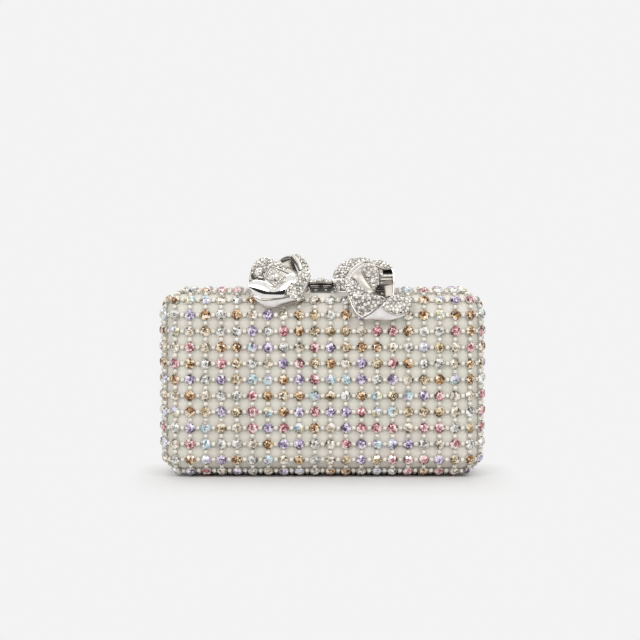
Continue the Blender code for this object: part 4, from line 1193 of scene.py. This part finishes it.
def set_stone(stones, settings, rng, place, template, tones=clear_tones):
    """Sets one colourless brilliant at a point of the bow, in four small beads of metal."""
    point, normal, radius = place
    points, faces = template
    sunk, crown = 0.22, 0.5
    first, second = axes_round(normal, rng.uniform(0, math.tau))
    placed = stamp(points, point + normal * radius * sunk, first * radius, second * radius,
                   normal * radius * crown)
    stones.add(placed, [face[2] for face in faces], smooth=False, tints=tones(rng, faces))
    first, second = axes_round(normal)
    size, reach, top = min(radius * 0.20, 0.28 * MM), 1.08, 1.9
    sides = six_round(first, second)
    for index in range(4):
        turn = (index + 0.5) * QUARTER
        centre = point + (first * math.cos(turn) + second * math.sin(turn)) * radius * reach
        bead = [centre + side * size * width + normal * size * rise
                for rise, width in ((0.0, 1.0), (1.3, 0.72)) for side in sides]
        settings.add(bead + [centre + normal * size * top],
                     ring_faces(2, 6) + [(6 + step, 6 + (step + 1) % 6, 12) for step in range(6)])


def seat_stones(name, settings, stones):
    """Seats the bow's stones and the beads that hold them."""
    settings.piece(name + "_settings", "bow", "setting")
    stones.piece(name + "_stones", "bow", "clear", turn_out=False)


def small_template():
    """Small eight-sided stone: crown round an eight-part table."""
    points = [(0, 0, 0.86)] + circle(0.56, 1.0, 8) + circle(1.0, 0.0, 8, 0.5)
    faces = []
    for index in range(8):
        after = (index + 1) % 8
        faces += [("table", index, (0, 1 + index, 1 + after)),
                  ("kite", index, (1 + index, 9 + index, 1 + after)),
                  ("girdle", index, (1 + after, 9 + index, 9 + after))]
    return np.array(points), faces


def lathe(shape, profile, sides, slot=0):
    """Turns a closed profile of (place along X, radius) round the clasp's axis."""
    points = [(CLASP_AXIS.x + x, CLASP_AXIS.y + y, CLASP_AXIS.z + z) for x, y, z in turned(profile, sides)]
    shape.add(points, ring_faces(len(profile), sides, closed=True), slot=slot)


def collar_profile(start, end, bore):
    """Closed profile of a collar with a raised, rounded rim at each end."""
    rim, outer = 0.45 * MM, BARREL_RADIUS
    groove, shoulder = outer - 0.18 * MM, outer - 0.05 * MM
    return ((start, bore), (start, outer - rim / 2), (start + rim / 2, outer), (start + rim, shoulder),
            (start + rim * 1.3, groove), (end - rim * 1.3, groove), (end - rim, shoulder),
            (end - rim / 2, outer), (end, outer - rim / 2), (end, bore))


def shaded_place(name, point):
    """Whether a small stone lies low in the outer loop, where the stones are darkened as painted shade."""
    return name == "outer_loop" and point.x < 0 and point.z < CLASP_AXIS.z + SHADED_LOOP_UP * BOW_UP


def make_ribbons(table, pave):
    """Ribbons of one half of the bow by name."""
    ribbons = {}
    for name, pair in table.items():
        edges = [[bow_point(*[part / 1000 for part in point]) for point in edge] for edge in pair]
        crown = RIBBON_CROWNS.get(name, RIBBON_CROWN if name in pave else MIRROR_CROWN)
        ribbons[name] = Ribbon(*edges, RIBBON_THICKNESS, crown)
        ribbons[name].thickness = min(RIBBON_THICKNESS, ribbons[name].width(RIBBON_STEPS // 2) / 2)
    return ribbons


def set_half(ribbons, pave, large_stones, seed):
    """Sets the stones of one half of the bow, the large ones first, in beads of metal."""
    rng = random.Random(seed)
    settings, stones = Shape(), Shape()
    taken = []
    for name, across, up, radius in large_stones:
        place = (*ribbons[name].face_point(*ribbons[name].nearest(across, up), True), radius)
        set_stone(stones, settings, rng, place, crystal_template(), large_tones)
        taken.append((place[0], radius))
    for name, ribbon in ribbons.items():
        if name not in pave:
            continue
        for place in pave_places(ribbon, pave[name], taken) if pave[name] else frame_places(ribbon):
            tones = shaded_tones if shaded_place(name, place[0]) else clear_tones
            set_stone(stones, settings, rng, place, small_template(), tones)
    return settings, stones


def make_bow_half(label, way, table, root, pave, large_stones, seed):
    """One half of the bow: ribbons, root and collar, with its small and large stones."""
    ribbons = make_ribbons(table, pave)
    metal = Shape()
    for name, ribbon in ribbons.items():
        ribbon.add_to(metal, name in pave, BOW_METALS.index(RIBBON_FINISHES.get(name, "rhodium")))
    inner = way * (BARREL_HALF + COLLAR_GAP)
    ends = sorted((inner, inner + way * COLLAR_LENGTH))
    lathe(metal, collar_profile(*ends, BARREL_RADIUS * COLLAR_BORE), COLLAR_SIDES, COLLAR)
    edges = [[Vector((CLASP_AXIS.x + across, out * STONE_REACH, CLASP_AXIS.z + up * BOW_UP))
              for up, out in root] for across in ends]
    Ribbon(*edges, ROOT_THICKNESS).add_to(metal, False)
    shown = metal.piece(f"bow_{label}_ribbons", "bow", *BOW_METALS)
    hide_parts(f"bow_{label}_half")
    seat_stones(f"bow_{label}", *set_half(ribbons, pave, large_stones, seed))


def knot_radius(across):
    """Outer radius of the knot's saddle at a place along the barrel."""
    top_end, slope_length = 0.26, 0.22
    rise = 1 - min(max((abs(across) / BARREL_HALF - top_end) / slope_length, 0), 1)
    rise = rise * rise * (3 - 2 * rise)
    return SHOULDER_RADIUS + rise * (KNOT_RADIUS - SHOULDER_RADIUS)


def arc_point(across, radius, turn):
    """Point round the clasp's axis, turning from the front over the top."""
    return CLASP_AXIS + Vector((across, -radius * math.cos(turn), radius * math.sin(turn)))


def knot_body():
    """Closed body of the saddle that bridges the barrel between the two collars."""
    steps, arc_steps = 32, 14
    turns = [QUARTER + KNOT_ARC * (index / arc_steps - 0.5) for index in range(arc_steps + 1)]
    points = []
    for step in range(steps + 1):
        across = BARREL_HALF * (2 * step / steps - 1)
        points += [arc_point(across, knot_radius(across) - PAVE_DEPTH, turn) for turn in turns]
        points += [arc_point(across, BARREL_RADIUS + COLLAR_GAP, turn) for turn in turns[::-1]]
    count = 2 * len(turns)
    metal = Shape()
    metal.add(points, ring_faces(steps + 1, count)
              + [tuple(range(count))[::-1], tuple(range(steps * count, (steps + 1) * count))])
    return metal


def knot_places():
    """Places of the knot's small stones, in rows along the barrel."""
    near, lean, row_share, bare_turn = 0.1 * MM, 0.6, 0.92, 0.1
    places = []
    rows = int(2 * BARREL_HALF / (PAVE_PITCH * row_share))
    for row in range(rows):
        across = BARREL_HALF * (2 * (row + 0.5) / rows - 1)
        radius = knot_radius(across) - PAVE_DEPTH
        slope = (knot_radius(across + near) - knot_radius(across - near)) / (2 * near)
        count = int(radius * (KNOT_ARC - bare_turn) / PAVE_PITCH)
        for column in range(count):
            turn = QUARTER + (column + 0.5 - count / 2) * PAVE_PITCH / radius
            normal = (arc_point(0, 1, turn) - CLASP_AXIS - Vector((slope * lean, 0, 0))).normalized()
            places.append((arc_point(across, radius, turn), normal, PAVE_RADIUS))
    return places


def make_knot(seed):
    """Pave knot and its shoulders, over the middle of the bow."""
    rng = random.Random(seed)
    settings, stones = Shape(), Shape()
    for place in knot_places():
        set_stone(stones, settings, rng, place, small_template())
    # The saddle's darker pave floor metal is painted shade
    shown = knot_body().piece("bow_knot_saddle", "bow", "pave_floor")
    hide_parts("bow_knot")
    seat_stones("bow_knot", settings, stones)


def make_barrel():
    """Polished clasp barrel with a bead round each end."""
    shape = Shape()
    lathe(shape, collar_profile(-BARREL_HALF, BARREL_HALF, BARREL_RADIUS - BARREL_WALL), BARREL_SIDES)
    shown = shape.piece("clasp_barrel_tube", "front_half", "dark_chrome")
    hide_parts("clasp_barrel")


# Pocket

POCKET_CELLS = (56, 26)
POCKET_SLACK, POCKET_WAVE, POCKET_WAVES = 1.8 * MM, 0.15 * MM, (9, 5)
HEM_DEPTH, HEM_START = 0.35 * MM, 0.87


def pocket_point(low, high, across, up, outer):
    """Point of the pocket's outer or inner side at shares across and up."""
    slack = POCKET_SLACK * math.sin(math.pi * across) * up ** 3
    hem = HEM_DEPTH if up > HEM_START else 0
    depth = high.y - PARTING_Y - (high.y - low.y + slack + hem if outer else slack)
    wave = POCKET_WAVE * noise.noise(Vector((across * POCKET_WAVES[0], up * POCKET_WAVES[1], 0)))
    return low.x + (high.x - low.x) * across, depth - wave, low.z + (high.z - low.z) * up


def make_pocket():
    """Slip pocket on the rear lining, slack at its open top edge, with a sewn border."""
    low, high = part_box("lining_pocket")
    across, up = POCKET_CELLS
    wide = across + 1
    edge = [*range(wide)] + [j * wide + across for j in range(1, up + 1)]
    edge += [up * wide + i for i in range(across - 1, -1, -1)] + [j * wide for j in range(up - 1, 0, -1)]
    shape = Shape()
    rims = []
    for outer in (True, False):
        rims.append([len(shape.points) + corner for corner in edge])
        shape.add([pocket_point(low, high, i / across, j / up, outer) for j in range(up + 1)
                   for i in range(wide)], grid_faces(across, up))
    shape.add_wall(*rims, smooth=False)
    pocket = shape.piece("lining_pocket_panel", "rear_half", "pocket")
    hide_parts("lining_pocket")
    make_stitches(low, high)


def make_stitches(low, high):
    """Row of stitches round the pocket's three sewn sides."""
    inset, pitch, long, thick = 1.4 * MM, 2.6 * MM, 1.7 * MM, 0.22 * MM
    profile = ((-0.5, 0.3), (-0.35, 1.0), (0.35, 1.0), (0.5, 0.3))
    left, right, foot, top = low.x + inset, high.x - inset, low.z + inset, high.z - inset
    corners = [Vector((x, 0, z)) for x, z in ((left, top), (left, foot), (right, foot), (right, top))]
    out = Vector((0, 1, 0))
    shape = Shape()
    for start, end in zip(corners, corners[1:]):
        ahead = (end - start).normalized()
        sides = six_round(ahead.cross(out), out)
        for step in range(int((end - start).length / pitch)):
            centre = start + ahead * (step + 0.5) * pitch + Vector((0, low.y - PARTING_Y, 0))
            rings = [centre + ahead * along * long + side * thick * size
                     for along, size in profile for side in sides]
            shape.add(rings, ring_faces(4, 6) + [tuple(range(6))[::-1], tuple(range(18, 24))])
    shape.piece("lining_pocket_stitches", "rear_half", "stitch")


# Carried-over pieces, light and camera

KNUCKLES = [f"{name}_{number}{end}" for number in (1, 2, 3)
            for name, end in (("front_knuckle", ""), ("rear_knuckle", "_left"), ("rear_knuckle", "_right"))]
KEPT_FINISHES = by_name({
    "board": ("front_shell", "rear_shell"),
    "nickel": ("clasp_bracket", "catch_keeper", "bracket_rivet_left", "bracket_rivet_right",
               "keeper_rivet_left", "keeper_rivet_right", *KNUCKLES),
    "steel": ("clasp_spring", "bow_pin", "hinge_pin_1", "hinge_pin_2", "hinge_pin_3"),
    "rhodium": ("bow_hook_left", "bow_hook_right"),
})
BACKGROUND = 0.896
WORLD_LIGHT = 0.34

# The floor: the bag's foot, where its shadow gives way to the background, its colours, and its size
FOOT_HALF_WIDTH = 76.0 * MM
FADE_START = 2.0 * MM
FADE_END = 32.0 * MM
FRONT_SHARE = 0.30
PAPER = ((0.865, 0.863, 0.861), (0.88, 0.878, 0.876))
FLOOR_HALF = 3.0

# Corners of a flat sheet, as signs along its two directions
SQUARE = ((-1, -1), (1, -1), (1, 1), (-1, 1))

# Lamps as (name, place, size, watts), and cards as (name, centre, size, facing, lower and upper light)
LAMP_TARGET = Vector((0, 0, 0.06))
SOFTBOXES = (("top_softbox", (0, 0.28, 0.92), (1.1, 0.7), 3.6),
             ("left_softbox", (-0.62, -0.92, 0.70), (0.90, 0.42), 6.4),
             ("right_softbox", (0.62, -0.92, 0.70), (0.90, 0.42), 6.4))
CARDS = (("camera_side_card", (0, -1.35, 0.29), (5.0, 0.60), (0, 1, 0), (0.015, 0.05)),
         ("left_card", (-1.25, -0.3, 0.40), (0.9, 0.8), (1, 0.2, 0), (0.05, 0.45)),
         ("right_card", (1.25, -0.3, 0.40), (0.9, 0.8), (-1, 0.2, 0), (0.05, 0.45)))

# Camera: its distance from the bag's face, what it sees across there, its sensor, height and aim
CAMERA_DISTANCE, VIEW_WIDTH, SENSOR = 1.10, 0.3485, 36.0
CAMERA_RISE = math.radians(3.0)
CAMERA_AIM = Vector((-0.0014, -HALF_DEPTH + PARTING_Y, 0.0868))


def finish_kept_nodes():
    """Gives each CAD node that stays its procedural finish."""
    for name, finish in KEPT_FINISHES.items():
        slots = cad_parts[name].data.materials
        slots.clear()
        slots.append(MATERIALS[finish])


def make_world():
    """Pale background for what the camera and the mirrors see, and a soft even light for the rest."""
    world = bpy.data.worlds.new("studio")
    bpy.context.scene.world = world
    world.use_nodes = True
    world.node_tree.nodes.clear()
    rays = add_node(world, "LightPath", {}).outputs
    seen = arithmetic(world, "ADD", rays["Is Camera Ray"], rays["Is Glossy Ray"])
    clear = arithmetic(world, "ADD", seen, rays["Is Transmission Ray"], clamp=True)
    light, back = [add_node(world, "Background", {"Color": (1, 1, 1, 1), "Strength": strength}).outputs[0]
                   for strength in (WORLD_LIGHT, BACKGROUND)]
    mix = add_node(world, "MixShader", {0: clear, 1: light, 2: back})
    add_node(world, "OutputWorld", {"Surface": mix.outputs[0]})


def floor_distance(material):
    """Distance of a floor point from the bag's foot, counted less in front, where the shadow is long."""
    place = add_node(material, "SeparateXYZ", {0: object_place(material)}).outputs
    beside = arithmetic(material, "SUBTRACT", arithmetic(material, "ABSOLUTE", place["X"]), FOOT_HALF_WIDTH)
    behind = arithmetic(material, "SUBTRACT", place["Y"], HALF_DEPTH)
    ahead = arithmetic(material, "SUBTRACT", place["Y"], -HALF_DEPTH)
    ahead = arithmetic(material, "MULTIPLY", ahead, -FRONT_SHARE)
    beside = arithmetic(material, "MAXIMUM", beside)
    along = arithmetic(material, "MAXIMUM", arithmetic(material, "MAXIMUM", behind, ahead))
    squares = [arithmetic(material, "MULTIPLY", value, value) for value in (beside, along)]
    return arithmetic(material, "SQRT", arithmetic(material, "ADD", *squares))


def make_sheet(name, corners, material):
    """Flat face of the studio between four corners."""
    mesh = bpy.data.meshes.new(name)
    mesh.from_pydata([tuple(corner) for corner in corners], [], [(0, 1, 2, 3)])
    mesh.materials.append(material)
    return add_object(name, mesh)


def make_floor():
    """Pale floor that keeps the shadow near the bag and is the background further off."""
    material = new_material("studio_paper", Roughness=0.8, Specular_IOR_Level=0.1)
    feed(material, "Base Color", ramp(material, noise_value(material, 40.0), *PAPER))
    fade = add_node(material, "MapRange", {"Value": floor_distance(material), "From Min": FADE_START,
                                           "From Max": FADE_END})
    glow = add_node(material, "Emission", {"Color": (1, 1, 1, 1), "Strength": BACKGROUND})
    show(material, add_node(material, "MixShader", {0: fade.outputs[0], 1: shader_of(material).outputs[0],
                                                    2: glow.outputs[0]}))
    corners = [(across * FLOOR_HALF, along * FLOOR_HALF, 0) for across, along in SQUARE]
    floor = make_sheet("studio_floor", corners, material)


def make_card(name, centre, size, facing, levels):
    """Card that only mirrors see, graded between two levels of light from its lower to its upper edge."""
    level, rise = axes_round(Vector(facing).normalized())
    wide, high = size
    corners = [Vector(centre) + level * across * wide / 2 + rise * up * high / 2
               for across, up in SQUARE]
    heights = [corner.z for corner in corners]
    material = new_material(name)
    place = add_node(material, "SeparateXYZ", {0: object_place(material)}).outputs
    grade = add_node(material, "MapRange", {"Value": place["Z"], "From Min": min(heights),
                                            "From Max": max(heights) + MM, "To Min": levels[0],
                                            "To Max": levels[1]})
    show(material, add_node(material, "Emission", {"Strength": grade.outputs[0]}))
    card = make_sheet(name, corners, material)
    card.visible_camera = False
    card.visible_diffuse = False
    card.visible_transmission = False
    card.visible_shadow = False


def make_softbox(name, place, size, power):
    """Soft rectangular lamp turned to the bag."""
    lamp = bpy.data.lights.new(name, "AREA")
    lamp.shape = "RECTANGLE"
    lamp.size, lamp.size_y = size
    lamp.energy = power
    item = add_object(name, lamp)
    item.location = place
    item.rotation_euler = (LAMP_TARGET - Vector(place)).to_track_quat("-Z", "Y").to_euler()
    item.visible_camera = False


def make_camera():
    """Camera at the photograph's height and distance."""
    data = bpy.data.cameras.new("camera")
    data.sensor_width = SENSOR
    data.lens = SENSOR * CAMERA_DISTANCE / VIEW_WIDTH
    camera = add_object("camera", data)
    away = Vector((0, -math.cos(CAMERA_RISE), math.sin(CAMERA_RISE)))
    camera.location = CAMERA_AIM + away * CAMERA_DISTANCE
    camera.rotation_euler = (CAMERA_AIM - camera.location).to_track_quat("-Z", "Y").to_euler()
    bpy.context.scene.camera = camera


def make_studio():
    """World, floor, lamps, cards and camera."""
    make_world()
    make_floor()
    for softbox in SOFTBOXES:
        make_softbox(*softbox)
    for card in CARDS:
        make_card(*card)
    make_camera()
    bpy.context.scene.view_settings.view_transform = "Standard"


dress_half("front", "front_half", FRONT, 11)
dress_half("rear", "rear_half", REAR, 23)
make_pocket()
make_barrel()
make_bow_half("left", -1, LEFT_RIBBONS, LEFT_ROOT, LEFT_PAVE, LEFT_LARGE_STONES, 31)
make_bow_half("right", 1, RIGHT_RIBBONS, RIGHT_ROOT, RIGHT_PAVE, RIGHT_LARGE_STONES, 37)
make_knot(41)
finish_kept_nodes()
make_studio()
